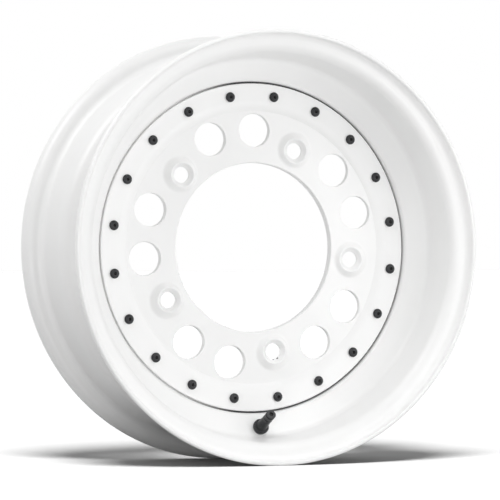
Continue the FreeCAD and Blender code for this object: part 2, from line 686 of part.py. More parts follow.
def on_valve(solid):
    """Valve piece carried from its own axis to its place in the ramp."""
    piece = solid.copy()
    piece.Placement = valve_placement().multiply(piece.Placement)
    return piece


def build():
    """Build every node of the wheel by name."""
    washer_top = FLANGE_BACK + WASHER_THICKNESS
    return {
        "center_disc": center_disc(),
        "outer_rim_half": outer_rim_half(),
        "inner_rim_half": inner_rim_half(),
        "joint_sealant": joint_sealant(),
        "disc_edge_seal": disc_edge_seal(),
        "rim_screws": on_screw_circle(screw(), BAND_FACE, -1),
        "rim_washers": on_screw_circle(washer(), FLANGE_BACK, 1),
        "rim_nuts": on_screw_circle(nut(), washer_top, 1),
        "nut_rings": on_screw_circle(nut_ring(), washer_top, 1),
        "valve_body": on_valve(valve_body()),
        "valve_tube": on_valve(valve_tube()),
        "valve_core": on_valve(valve_core()),
        "valve_pin": on_valve(valve_pin()),
        "valve_plunger": on_valve(valve_plunger()),
        "valve_cap": on_valve(valve_cap()),
        "cap_seal": on_valve(cap_seal()),
    }


def main():
    """Write one STEP file per node and print each node's solids and volume."""
    os.makedirs("parts", exist_ok=True)
    for name, shape in build().items():
        shape.exportStep(os.path.join("parts", name + ".step"))
        print(name, len(shape.Solids), "solids, valid", shape.isValid(), "volume %.1f" % shape.Volume)


main()
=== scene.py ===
"""Studio scene of a white modular wheel rim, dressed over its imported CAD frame.

Lengths are metres in the frame's axes: the wheel's axis lies along Y, the outer face looks towards
-Y and +Z is up. Clock angles run clockwise from straight down, seen from the outer face.
"""

import json
import logging
import math
from collections.abc import Callable
from dataclasses import dataclass
from enum import Enum

import bmesh
import bpy
from mathutils import Matrix, Vector


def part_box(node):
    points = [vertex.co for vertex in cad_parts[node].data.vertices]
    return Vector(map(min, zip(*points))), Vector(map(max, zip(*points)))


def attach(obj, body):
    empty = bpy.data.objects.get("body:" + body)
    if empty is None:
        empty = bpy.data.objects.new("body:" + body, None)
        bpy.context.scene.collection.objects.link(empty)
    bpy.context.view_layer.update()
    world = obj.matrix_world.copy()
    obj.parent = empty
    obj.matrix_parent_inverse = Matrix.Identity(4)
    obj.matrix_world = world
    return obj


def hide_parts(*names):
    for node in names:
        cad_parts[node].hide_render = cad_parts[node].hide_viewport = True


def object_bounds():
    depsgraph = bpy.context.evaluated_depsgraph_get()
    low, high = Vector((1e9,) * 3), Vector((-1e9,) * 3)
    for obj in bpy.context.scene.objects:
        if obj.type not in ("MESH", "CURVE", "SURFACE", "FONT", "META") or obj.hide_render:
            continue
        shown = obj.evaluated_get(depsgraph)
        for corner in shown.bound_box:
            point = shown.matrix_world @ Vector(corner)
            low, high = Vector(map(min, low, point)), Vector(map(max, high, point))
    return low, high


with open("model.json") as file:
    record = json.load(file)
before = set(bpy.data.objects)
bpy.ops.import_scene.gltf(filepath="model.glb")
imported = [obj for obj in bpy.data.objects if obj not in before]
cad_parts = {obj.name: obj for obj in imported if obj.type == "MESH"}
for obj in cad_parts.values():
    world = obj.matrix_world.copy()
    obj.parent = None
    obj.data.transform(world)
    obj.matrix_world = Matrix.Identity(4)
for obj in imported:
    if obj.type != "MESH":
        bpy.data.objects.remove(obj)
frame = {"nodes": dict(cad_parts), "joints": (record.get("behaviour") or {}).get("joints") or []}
CAD_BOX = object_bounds()

LOG = logging.getLogger("wheel_rim")

WHEEL_TURN_DEG = -0.8
WIDE_SEGMENTS = 288
SMALL_SEGMENTS = 72
ARC_STEP_DEG = 6.0
CREASE_DEG = 32.0
# Name of the face mark where shade is painted into sockets, grooves and the dimple
PAINTED_SHADE_MARK = "hollow"
WELD = 2e-6
HEXAGON_SECTOR = math.radians(60.0)

# Sockets of a Mix node that carry colours
MIX_FIRST = 6
MIX_SECOND = 7
MIX_RESULT = 2

NOISE_SPAN = (0.3, 0.7)
WHITE = (1.0, 1.0, 1.0, 1.0)

Colour = tuple[float, float, float, float]
Source = bpy.types.NodeSocket | float | int | tuple


class Body(Enum):
    """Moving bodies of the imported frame."""

    WHEEL = "wheel"
    CAP = "cap"


class Side(Enum):
    """The two rim halves, by the way that they run from the joint along the axis."""

    OUTER = -1
    INNER = 1


@dataclass(frozen=True)
class Corner:
    """Corner of a turned outline, with the radius of its bend."""

    radius: float
    along: float
    bend: float = 0.0


@dataclass(frozen=True)
class Row:
    """One row of a turned skin, round or following a hexagon, with the slope of a hexagon's chamfer."""

    radius: float
    along: float
    hexagon: float = 0.0
    chamfer: float = 0.0


def line_crossing(first: Vector, first_way: Vector, second: Vector, second_way: Vector) -> Vector:
    """Find where two lines of a plane cross.

    Args:
        first: Point on the first line.
        first_way: Direction of the first line.
        second: Point on the second line.
        second_way: Direction of the second line.

    Returns:
        The crossing point.
    """
    reach = (second - first).cross(second_way) / first_way.cross(second_way)
    return first + first_way * reach


def arc_rows(centre: Vector, start: Vector, turn: float) -> list[Row]:
    """Step along an arc of an outline.

    Args:
        centre: Centre of the arc, as radius and place along the axis.
        start: The arc's first point, measured from its centre.
        turn: Signed angle of the arc.

    Returns:
        Rows from the first point of the arc to its last.
    """
    steps = max(2, math.ceil(math.degrees(abs(turn)) / ARC_STEP_DEG))
    rows = []
    for step in range(steps + 1):
        angle = turn * step / steps
        cosine = math.cos(angle)
        sine = math.sin(angle)
        radius = centre.x + start.x * cosine - start.y * sine
        along = centre.y + start.x * sine + start.y * cosine
        rows.append(Row(radius, along))
    return rows


def rounded_rows(corners: list[Corner]) -> list[Row]:
    """Trace a closed outline, with a tangent arc at each bent corner.

    Args:
        corners: Corners of the outline in order.

    Returns:
        Rows of the outline, the first one repeated at the end.
    """
    points = [Vector((corner.radius, corner.along)) for corner in corners]
    rows: list[Row] = []
    for index, corner in enumerate(corners):
        here = points[index]
        if corner.bend <= 0.0:
            rows.append(Row(here.x, here.y))
            continue
        back = (points[index - 1] - here).normalized()
        onward = (points[(index + 1) % len(points)] - here).normalized()
        half = back.angle(onward) / 2
        centre = here + (back + onward).normalized() * (corner.bend / math.sin(half))
        reach = corner.bend / math.tan(half)
        start = here + back * reach - centre
        end = here + onward * reach - centre
        turn = math.copysign(math.pi - 2 * half, start.cross(end))
        rows.extend(arc_rows(centre, start, turn))
    rows.append(rows[0])
    return rows


def feed(tree: bpy.types.NodeTree, socket: bpy.types.NodeSocket, value: Source) -> None:
    """Link a node's input to another socket, or set its own value.

    Args:
        tree: Tree of the node.
        socket: The input.
        value: Socket to link it to, or its value.
    """
    if isinstance(value, bpy.types.NodeSocket):
        tree.links.new(value, socket)
    else:
        socket.default_value = value


def add_node(tree: bpy.types.NodeTree, kind: str, feeds: dict[str | int, Source] | None = None,
             **settings: str) -> bpy.types.Node:
    """Add a node to a tree.

    Args:
        tree: The tree.
        kind: Type of the node.
        feeds: Value or socket for each of its inputs, by name or number.
        settings: Options of the node.

    Returns:
        The new node.
    """
    node = tree.nodes.new(kind)
    for label, value in settings.items():
        setattr(node, label, value)
    for label, value in (feeds or {}).items():
        feed(tree, node.inputs[label], value)
    return node


def add_object(name: str, data: bpy.types.ID) -> bpy.types.Object:
    """Put an object into the scene.

    Args:
        name: Name of the object.
        data: Its mesh, lamp or camera.

    Returns:
        The object.
    """
    item = bpy.data.objects.new(name, data)
    bpy.context.scene.collection.objects.link(item)
    return item


class GeometryTree:
    """Geometry node tree with named inputs, ending in real geometry with a material."""

    def __init__(self, name: str, inputs: dict[str, str]) -> None:
        """Start the tree.

        Args:
            name: Name of the tree.
            inputs: Socket type of each named input.
        """
        self.group = bpy.data.node_groups.new(name, "GeometryNodeTree")
        self.identifiers: dict[str, str] = {}
        for label, kind in {"Geometry": "NodeSocketGeometry", **inputs}.items():
            socket = self.group.interface.new_socket(label, in_out="INPUT", socket_type=kind)
            self.identifiers[label] = socket.identifier
        self.group.interface.new_socket("Geometry", in_out="OUTPUT", socket_type="NodeSocketGeometry")
        self.entry = self.group.nodes.new("NodeGroupInput")

    def inlet(self, label: str) -> bpy.types.NodeSocket:
        """Return the socket of a named input."""
        return self.entry.outputs[label]

    def node(self, kind: str, feeds: dict[str | int, Source] | None = None,
             **settings: str) -> bpy.types.Node:
        """Add a node to the tree, as add_node does."""
        return add_node(self.group, kind, feeds, **settings)

    def math(self, operation: str, *sources: Source) -> bpy.types.NodeSocket:
        """Add a sum of one or two numbers or sockets and return its result."""
        return self.node("ShaderNodeMath", dict(enumerate(sources)), operation=operation).outputs[0]

    def close(self, geometry: bpy.types.NodeSocket) -> None:
        """Make the geometry real, give it the tree's material and send it out.

        Args:
            geometry: The finished geometry.
        """
        real = self.node("GeometryNodeRealizeInstances", {"Geometry": geometry})
        feeds = {"Geometry": real.outputs[0], "Material": self.inlet("Material")}
        painted = self.node("GeometryNodeSetMaterial", feeds)
        self.node("NodeGroupOutput", {"Geometry": painted.outputs[0]})

    def run(self, mesh: bpy.types.Mesh, values: dict[str, object]) -> bpy.types.Mesh:
        """Run the tree on a mesh, which is used up.

        Args:
            mesh: Geometry that goes in.
            values: Value of each named input.

        Returns:
            The result as a plain mesh.
        """
        holder = add_object("holder", mesh)
        modifier = holder.modifiers.new("tree", "NODES")
        modifier.node_group = self.group
        for label, value in values.items():
            modifier[self.identifiers[label]] = value
        graph = bpy.context.evaluated_depsgraph_get()
        result = bpy.data.meshes.new_from_object(holder.evaluated_get(graph))
        bpy.data.objects.remove(holder)
        bpy.data.meshes.remove(mesh)
        return result


class Lathe(GeometryTree):
    """Tree that turns a column of rows about the Y axis into a closed skin."""

    def __init__(self) -> None:
        """Build the tree: a grid whose columns are spun and whose rows follow the profile."""
        super().__init__("lathe", {"Segments": "NodeSocketInt", "Rows": "NodeSocketInt",
                                   "Material": "NodeSocketMaterial"})
        columns = self.math("ADD", self.inlet("Segments"), 1.0)
        grid = self.node("GeometryNodeMeshGrid", {"Size X": 1.0, "Size Y": 1.0, "Vertices X": columns,
                                                  "Vertices Y": self.inlet("Rows")})
        position = self.node("GeometryNodeInputPosition").outputs[0]
        place = self.node("ShaderNodeSeparateXYZ", {"Vector": position})
        turn = self.math("MULTIPLY", self.math("ADD", place.outputs["X"], 0.5), math.tau)
        last = self.math("SUBTRACT", self.inlet("Rows"), 1.0)
        row = self.math("MULTIPLY", self.math("ADD", place.outputs["Y"], 0.5), last)
        row = self.math("ROUND", row)
        profile = self.node("ShaderNodeSeparateXYZ", {"Vector": self.sampled("FLOAT_VECTOR", position, row)})
        radius = profile.outputs["X"]
        sector = self.math("SUBTRACT", self.math("MODULO", turn, HEXAGON_SECTOR), HEXAGON_SECTOR / 2)
        flare = self.math("SUBTRACT", self.math("DIVIDE", 1.0, self.math("COSINE", sector)), 1.0)
        growth = self.math("MULTIPLY", self.attribute("hexagon", row), flare)
        reach = self.math("MULTIPLY", radius, self.math("ADD", growth, 1.0))
        overhang = self.math("SUBTRACT", reach, radius)
        slope = self.math("MULTIPLY", self.attribute("chamfer", row), overhang)
        spun = self.node("ShaderNodeCombineXYZ", {
            "X": self.math("MULTIPLY", reach, self.math("COSINE", turn)),
            "Y": self.math("ADD", profile.outputs["Y"], slope),
            "Z": self.math("MULTIPLY", reach, self.math("SINE", turn)),
        })
        feeds = {"Geometry": grid.outputs[0], "Position": spun.outputs[0]}
        skin = self.node("GeometryNodeSetPosition", feeds)
        whole = self.node("GeometryNodeMergeByDistance", {"Geometry": skin.outputs[0], "Distance": WELD})
        self.close(whole.outputs[0])

    def sampled(self, kind: str, value: bpy.types.NodeSocket,
                row: bpy.types.NodeSocket) -> bpy.types.NodeSocket:
        """Read a value of the profile's points at a row.

        Args:
            kind: Data type of the value.
            value: The value on the profile.
            row: Number of the row.

        Returns:
            The value at that row.
        """
        node = self.node("GeometryNodeSampleIndex", None, data_type=kind, domain="POINT")
        feeds = {"Geometry": self.inlet("Geometry"), "Value": value, "Index": row}
        for label, source in feeds.items():
            usable = (socket for socket in node.inputs if socket.name == label and socket.enabled)
            feed(self.group, next(usable), source)
        return next(socket for socket in node.outputs if socket.enabled)

    def attribute(self, label: str, row: bpy.types.NodeSocket) -> bpy.types.NodeSocket:
        """Read a named number of the profile at a row."""
        named = self.node("GeometryNodeInputNamedAttribute", {"Name": label}, data_type="FLOAT")
        return self.sampled("FLOAT", named.outputs["Attribute"], row)

    def turned(self, rows: list[Row], segments: int, material: bpy.types.Material) -> bpy.types.Mesh:
        """Turn a profile.

        Args:
            rows: Rows of the profile in order.
            segments: Number of columns round the axis.
            material: Finish of the skin.

        Returns:
            The closed skin, its faces outwards.
        """
        column = bpy.data.meshes.new("profile")
        column.from_pydata([(row.radius, row.along, 0.0) for row in rows], [], [])
        for label in ("hexagon", "chamfer"):
            values = column.attributes.new(label, "FLOAT", "POINT")
            for index, row in enumerate(rows):
                values.data[index].value = getattr(row, label)
        mesh = self.run(column, {"Segments": segments, "Rows": len(rows), "Material": material})
        return finished_skin(mesh)

    def pin(self, radius: float, front: float, back: float, material: bpy.types.Material) -> bpy.types.Mesh:
        """Turn a closed pin that cuts a hole.

        Args:
            radius: Radius of the hole.
            front: Place along the axis where the pin begins.
            back: Place where it ends.
            material: Finish of the hole's wall.

        Returns:
            The pin's mesh.
        """
        rows = [Row(0.0, front), Row(radius, front), Row(radius, back), Row(0.0, back)]
        return self.turned(rows, SMALL_SEGMENTS, material)


class Ring(GeometryTree):
    """Tree that repeats a piece round the wheel's axis."""

    def __init__(self) -> None:
        """Build the tree: points at the origin, each with its own turn about Y."""
        super().__init__("ring", {"Count": "NodeSocketInt", "First": "NodeSocketFloat",
                                  "Material": "NodeSocketMaterial"})
        points = self.node("GeometryNodePoints", {"Count": self.inlet("Count")})
        index = self.node("GeometryNodeInputIndex").outputs[0]
        step = self.math("DIVIDE", math.tau, self.inlet("Count"))
        turn = self.math("ADD", self.inlet("First"), self.math("MULTIPLY", index, step))
        rotation = self.node("ShaderNodeCombineXYZ", {"Y": turn})
        copies = self.node("GeometryNodeInstanceOnPoints", {
            "Points": points.outputs[0], "Instance": self.inlet("Geometry"), "Rotation": rotation.outputs[0]})
        self.close(copies.outputs[0])

    def repeated(self, mesh: bpy.types.Mesh, count: int, first_deg: float,
                 material: bpy.types.Material) -> bpy.types.Mesh:
        """Repeat a mesh that stands straight below the axis.

        Args:
            mesh: The mesh, which is used up.
            count: Number of copies.
            first_deg: Clock angle of the first copy.
            material: Finish of the copies.

        Returns:
            One mesh with all the copies.
        """
        values = {"Count": count, "First": math.radians(first_deg), "Material": material}
        return finished_skin(self.run(mesh, values))


def finished_skin(mesh: bpy.types.Mesh) -> bpy.types.Mesh:
    """Merge doubles, turn the faces outwards and shade the skin smooth between its creases.

    Args:
        mesh: The mesh to finish.

    Returns:
        The same mesh.
    """
    skin = bmesh.new()
    skin.from_mesh(mesh)
    bmesh.ops.remove_doubles(skin, verts=skin.verts, dist=WELD)
    bmesh.ops.recalc_face_normals(skin, faces=skin.faces)
    skin.to_mesh(mesh)
    skin.free()
    mesh.shade_smooth()
    mesh.set_sharp_from_angle(angle=math.radians(CREASE_DEG))
    return mesh


def cut_mesh(mesh: bpy.types.Mesh, cutter: bpy.types.Mesh) -> bpy.types.Mesh:
    """Cut one mesh out of another; both are used up.

    Args:
        mesh: The mesh to cut.
        cutter: The closed mesh to take away.

    Returns:
        What is left.
    """
    body = add_object("body", mesh)
    tool = add_object("tool", cutter)
    modifier = body.modifiers.new("cut", "BOOLEAN")
    modifier.operation = "DIFFERENCE"
    modifier.solver = "EXACT"
    modifier.object = tool
    graph = bpy.context.evaluated_depsgraph_get()
    result = bpy.data.meshes.new_from_object(body.evaluated_get(graph))
    for item in (body, tool):
        bpy.data.objects.remove(item)
    for used in (mesh, cutter):
        bpy.data.meshes.remove(used)
    return result


def joined_mesh(meshes: list[bpy.types.Mesh]) -> bpy.types.Mesh:
    """Gather meshes into one; they are used up.

    Args:
        meshes: Meshes to gather.

    Returns:
        The mesh that holds them all.
    """
    skin = bmesh.new()
    for mesh in meshes:
        skin.from_mesh(mesh)
        bpy.data.meshes.remove(mesh)
    whole = bpy.data.meshes.new("joined")
    skin.to_mesh(whole)
    skin.free()
    return whole


def set_piece(name: str, mesh: bpy.types.Mesh, body: Body, nodes: list[str]) -> bpy.types.Object:
    """Put a finished mesh into the scene in place of CAD nodes.

    Args:
        name: Name of the piece.
        mesh: Its finished mesh.
        body: Body that it moves with.
        nodes: CAD nodes that it stands for.

    Returns:
        The piece.
    """
    mesh.name = name
    piece = add_object(name, mesh)
    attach(piece, body.value)
    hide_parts(*nodes)
    LOG.info("%s: %d faces on %s for %s", name, len(mesh.polygons), body.value, ", ".join(nodes))
    return piece


def mark_painted_shade(mesh: bpy.types.Mesh, inside: Callable[[Vector], bool]) -> None:
    """Mark the faces of a hollow where the finish paints shade, for the finish to read.

    Args:
        mesh: Mesh with the hollow.
        inside: Test of a face's middle.
    """
    mark = mesh.attributes.new(PAINTED_SHADE_MARK, "FLOAT", "FACE")
    for face, item in zip(mesh.polygons, mark.data):
        item.value = float(inside(face.center))


def dress_node(node: str, material: bpy.types.Material) -> None:
    """Give a CAD node a better finish in its own material slots.

    Args:
        node: Name of the node.
        material: The finish.
    """
    for slot in frame["nodes"][node].material_slots:
        slot.material = material
    LOG.info("%s: solid dressed in %s", node, material.name)


class FinishSheet:
    """Shader sheet of one finish: a Principled shader read on the piece's Object coordinates."""

    def __init__(self, name: str, settings: dict[str, Source]) -> None:
        """Start the sheet.

        Args:
            name: Name of the finish.
            settings: Constant values of the shader's sockets.
        """
        self.material = bpy.data.materials.new(name)
        self.material.use_nodes = True
        self.tree = self.material.node_tree
        self.shader = self.tree.nodes["Principled BSDF"]
        self.coordinates = self.tree.nodes.new("ShaderNodeTexCoord").outputs["Object"]
        for label, value in settings.items():
            self.shader.inputs[label].default_value = value

    def drive(self, label: str, source: bpy.types.NodeSocket) -> None:
        """Let a socket drive a named input of the shader."""
        self.tree.links.new(source, self.shader.inputs[label])

    def noise(self, scale: float, detail: float,
              place: bpy.types.NodeSocket | None = None) -> bpy.types.NodeSocket:
        """Add noise on the Object coordinates or on a place worked out from them.

        Args:
            scale: Number of features in a metre.
            detail: Octaves of finer noise.
            place: Coordinates to read instead of the piece's own.

        Returns:
            The noise's value.
        """
        feeds = {"Vector": place or self.coordinates, "Scale": scale, "Detail": detail}
        return add_node(self.tree, "ShaderNodeTexNoise", feeds).outputs["Fac"]

    def spread(self, value: bpy.types.NodeSocket, span: tuple[float, float],
               target: tuple[float, float]) -> bpy.types.NodeSocket:
        """Map a value from one span to another, held at the ends.

        Args:
            value: The value to map.
            span: Two values that are mapped.
            target: What they become.

        Returns:
            The mapped value.
        """
        feeds = {"Value": value, "From Min": span[0], "From Max": span[1],
                 "To Min": target[0], "To Max": target[1]}
        return add_node(self.tree, "ShaderNodeMapRange", feeds).outputs["Result"]

    def mixed(self, factor: bpy.types.NodeSocket, first: Source, second: Source) -> bpy.types.NodeSocket:
        """Mix two colours.

        Args:
            factor: Share of the second colour.
            first: First colour, or the socket that gives it.
            second: Second colour.

        Returns:
            The mixed colour.
        """
        feeds = {"Factor": factor, MIX_FIRST: first, MIX_SECOND: second}
        return add_node(self.tree, "ShaderNodeMix", feeds, data_type="RGBA").outputs[MIX_RESULT]

    def marked(self, label: str) -> bpy.types.NodeSocket:
        """Read a number that the piece's own mesh carries."""
        return add_node(self.tree, "ShaderNodeAttribute", attribute_name=label).outputs["Fac"]

    def relief(self, height: bpy.types.NodeSocket, distance: float) -> None:
        """Raise the surface's normal by a height map of a given depth."""
        bump = add_node(self.tree, "ShaderNodeBump", {"Distance": distance, "Height": height})
        self.drive("Normal", bump.outputs["Normal"])


@dataclass(frozen=True)
class Chip:
    """Spot where the paint has been knocked off."""

    centre: tuple[float, float, float]
    radius: float
    ragged: float = 0.35
    scale: float = 1500.0
    detail: float = 2.0
    edge_share: float = 0.85


@dataclass(frozen=True)
class PaintFinish:
    """Sprayed white paint over a spun sheet: faint orange peel, marks round the axis, and chips."""

    name: str
    tone: Colour = (0.94, 0.94, 0.936, 1.0)
    shade: Colour = (0.925, 0.925, 0.921, 1.0)
    bare: Colour = (0.09, 0.09, 0.095, 1.0)
    roughness: tuple[float, float] = (0.3, 0.38)
    refraction: float = 1.48
    mottle_scale: float = 22.0
    mottle_detail: float = 4.0
    peel_scale: float = 700.0
    peel_detail: float = 1.0
    peel_depth: float = 0.000012
    spun_scale: float = 420.0
    spun_detail: float = 3.0
    spun_share: float = 0.35
    chips: tuple[Chip, ...] = ()

    def material(self) -> bpy.types.Material:
        """Build the paint's material.

        Returns:
            The material.
        """
        sheet = FinishSheet(self.name, {"IOR": self.refraction})
        mottle = sheet.noise(self.mottle_scale, self.mottle_detail)
        peel = sheet.noise(self.peel_scale, self.peel_detail)
        spun = sheet.noise(self.spun_scale, self.spun_detail, self.round_the_axis(sheet))
        colour = sheet.mixed(sheet.spread(mottle, NOISE_SPAN, (0.0, 1.0)), self.tone, self.shade)
        colour = sheet.mixed(sheet.spread(spun, NOISE_SPAN, (0.0, self.spun_share)), colour, self.shade)
        for chip in self.chips:
            colour = sheet.mixed(self.chipped(sheet, chip), colour, self.bare)
        sheet.drive("Base Color", colour)
        sheet.drive("Roughness", sheet.spread(peel, NOISE_SPAN, self.roughness))
        sheet.relief(peel, self.peel_depth)
        return sheet.material

    def round_the_axis(self, sheet: FinishSheet) -> bpy.types.NodeSocket:
        """Give coordinates that stay the same all round the wheel, for the marks left by spinning.

        Args:
            sheet: Sheet that reads them.

        Returns:
            The distance from the axis and the place along it.
        """
        apart = add_node(sheet.tree, "ShaderNodeSeparateXYZ", {0: sheet.coordinates}).outputs
        across = add_node(sheet.tree, "ShaderNodeCombineXYZ", {"X": apart["X"], "Z": apart["Z"]})
        reach = add_node(sheet.tree, "ShaderNodeVectorMath", {0: across.outputs[0]}, operation="LENGTH")
        feeds = {"X": reach.outputs["Value"], "Y": apart["Y"]}
        return add_node(sheet.tree, "ShaderNodeCombineXYZ", feeds).outputs[0]

    def chipped(self, sheet: FinishSheet, chip: Chip) -> bpy.types.NodeSocket:
        """Draw the ragged spot of one chip.

        Args:
            sheet: Sheet that it is drawn on.
            chip: Place and size of the chip.

        Returns:
            One inside the chip and nought outside it.
        """
        feeds = {0: sheet.coordinates, 1: chip.centre}
        reach = add_node(sheet.tree, "ShaderNodeVectorMath", feeds, operation="DISTANCE").outputs["Value"]
        waver = sheet.noise(chip.scale, chip.detail)
        feeds = {0: waver, 1: 2 * chip.ragged * chip.radius, 2: reach}
        edge = add_node(sheet.tree, "ShaderNodeMath", feeds, operation="MULTIPLY_ADD").outputs[0]
        limit = chip.radius * (1 + chip.ragged)
        return sheet.spread(edge, (limit * chip.edge_share, limit), (1.0, 0.0))


@dataclass(frozen=True)
class GrainedFinish:
    """Finish with a clouded tone and a fine grain, and painted shade where its mesh marks a hollow."""

    name: str
    tone: Colour
    shade: Colour
    roughness: tuple[float, float]
    cloud_scale: float = 180.0
    cloud_detail: float = 4.0
    grain_scale: float = 3000.0
    grain_detail: float = 2.0
    grain_depth: float = 0.00002
    metallic: float = 0.0
    gloss: float = 0.5
    # Colour of the painted shade in marked hollows
    hollow: Colour | None = None

    def material(self) -> bpy.types.Material:
        """Build the finish's material.

        Returns:
            The material.
        """
        sheet = FinishSheet(self.name, {"Metallic": self.metallic, "Specular IOR Level": self.gloss})
        cloud = sheet.noise(self.cloud_scale, self.cloud_detail)
        grain = sheet.noise(self.grain_scale, self.grain_detail)
        colour = sheet.mixed(sheet.spread(cloud, NOISE_SPAN, (0.0, 1.0)), self.tone, self.shade)
        # Painted shade: marked hollows take a near-black colour
        if self.hollow:
            colour = sheet.mixed(sheet.marked(PAINTED_SHADE_MARK), colour, self.hollow)
        sheet.drive("Base Color", self.with_painted_light(sheet, colour))
        sheet.drive("Roughness", sheet.spread(grain, NOISE_SPAN, self.roughness))
        sheet.relief(grain, self.grain_depth)
        return sheet.material

    def with_painted_light(self, sheet: FinishSheet, colour: bpy.types.NodeSocket) -> bpy.types.NodeSocket:
        """Return the colour with any painted light, of which this finish has none."""
        return colour


@dataclass(frozen=True)
class MetalFinish(GrainedFinish):
    """Plated, blackened or plain metal with fine wear in its tone and gloss."""

    cloud_scale: float = 260.0
    grain_scale: float = 2600.0
    grain_depth: float = 0.000006
    metallic: float = 1.0


@dataclass(frozen=True)
class MouldedFinish(GrainedFinish):
    """Rubber, plastic or cured sealant with a moulded grain, and painted light on the wheel's left where the
    finish has it.
    """

    # Pale colour of painted light on the wheel's left, and the span of X over which it fades in
    painted_light_left: Colour | None = None
    painted_light_span: tuple[float, float] = (-0.08, -0.02)

    def with_painted_light(self, sheet: FinishSheet, colour: bpy.types.NodeSocket) -> bpy.types.NodeSocket:
        """Paint light on the wheel's left, where the finish has any: a pale colour that fades in towards
        negative X.

        Args:
            sheet: Sheet of the finish.
            colour: Colour without painted light.

        Returns:
            The colour to show.
        """
        if not self.painted_light_left:
            return colour
        # Painted light: the pale colour takes over towards the wheel's left
        apart = add_node(sheet.tree, "ShaderNodeSeparateXYZ", {0: sheet.coordinates})
        share = sheet.spread(apart.outputs["X"], self.painted_light_span, (1.0, 0.0))
        return sheet.mixed(share, colour, self.painted_light_left)


RIM_WHITE = PaintFinish("rim_white")
SEALANT_GREY = MouldedFinish("sealant_grey", (0.42, 0.42, 0.42, 1.0), (0.5, 0.5, 0.49, 1.0), (0.45, 0.6))
# Black sealant at the disc's edge; its black also paints the shade in the gap, and its pale colour on the
# left is painted light
SEAL_BLACK_AND_GAP_SHADE = MouldedFinish("seal_black_gap_shade", (0.03, 0.03, 0.032, 1.0), (0.05, 0.05, 0.052, 1.0), (0.5, 0.65),
                           painted_light_left=(0.88, 0.88, 0.876, 1.0))
# The hollow colour is painted shade in the screws' sockets
BLACK_OXIDE = MetalFinish("black_oxide", (0.036, 0.037, 0.039, 1.0), (0.052, 0.053, 0.055, 1.0), (0.2, 0.3),
                          metallic=0.0, gloss=0.17, hollow=(0.002, 0.002, 0.002, 1.0))
ZINC = MetalFinish("zinc_plate", (0.42, 0.43, 0.45, 1.0), (0.33, 0.34, 0.36, 1.0), (0.26, 0.4))
NYLON = MouldedFinish("natural_nylon", (0.72, 0.71, 0.67, 1.0), (0.66, 0.65, 0.6, 1.0), (0.4, 0.5))
RUBBER = MouldedFinish("valve_rubber_black", (0.024, 0.025, 0.026, 1.0), (0.036, 0.037, 0.038, 1.0),
                       (0.26, 0.36), gloss=0.18)
BRASS = MetalFinish("valve_brass_bright", (0.72, 0.55, 0.27, 1.0), (0.58, 0.42, 0.19, 1.0), (0.24, 0.4))
# The hollow colour is painted shade in the cap's grooves and dimple
CAP_PLASTIC = MouldedFinish("cap_plastic_black", (0.045, 0.046, 0.048, 1.0), (0.058, 0.059, 0.061, 1.0),
                            (0.2, 0.28), gloss=0.18, hollow=(0.003, 0.003, 0.003, 1.0))


def reach_along(node: str) -> tuple[float, float]:
    """Return where a CAD node begins and ends along the wheel's axis."""
    low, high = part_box(node)
    return low[1], high[1]


def joint_plane() -> float:
    """Return the place along the axis where the two halves meet."""
    return reach_along("outer_rim_half")[1]


def climbing(degrees: float) -> Vector:
    """Return the direction along the axis and away from it that climbs at an angle."""
    angle = math.radians(degrees)
    return Vector((math.cos(angle), math.sin(angle)))


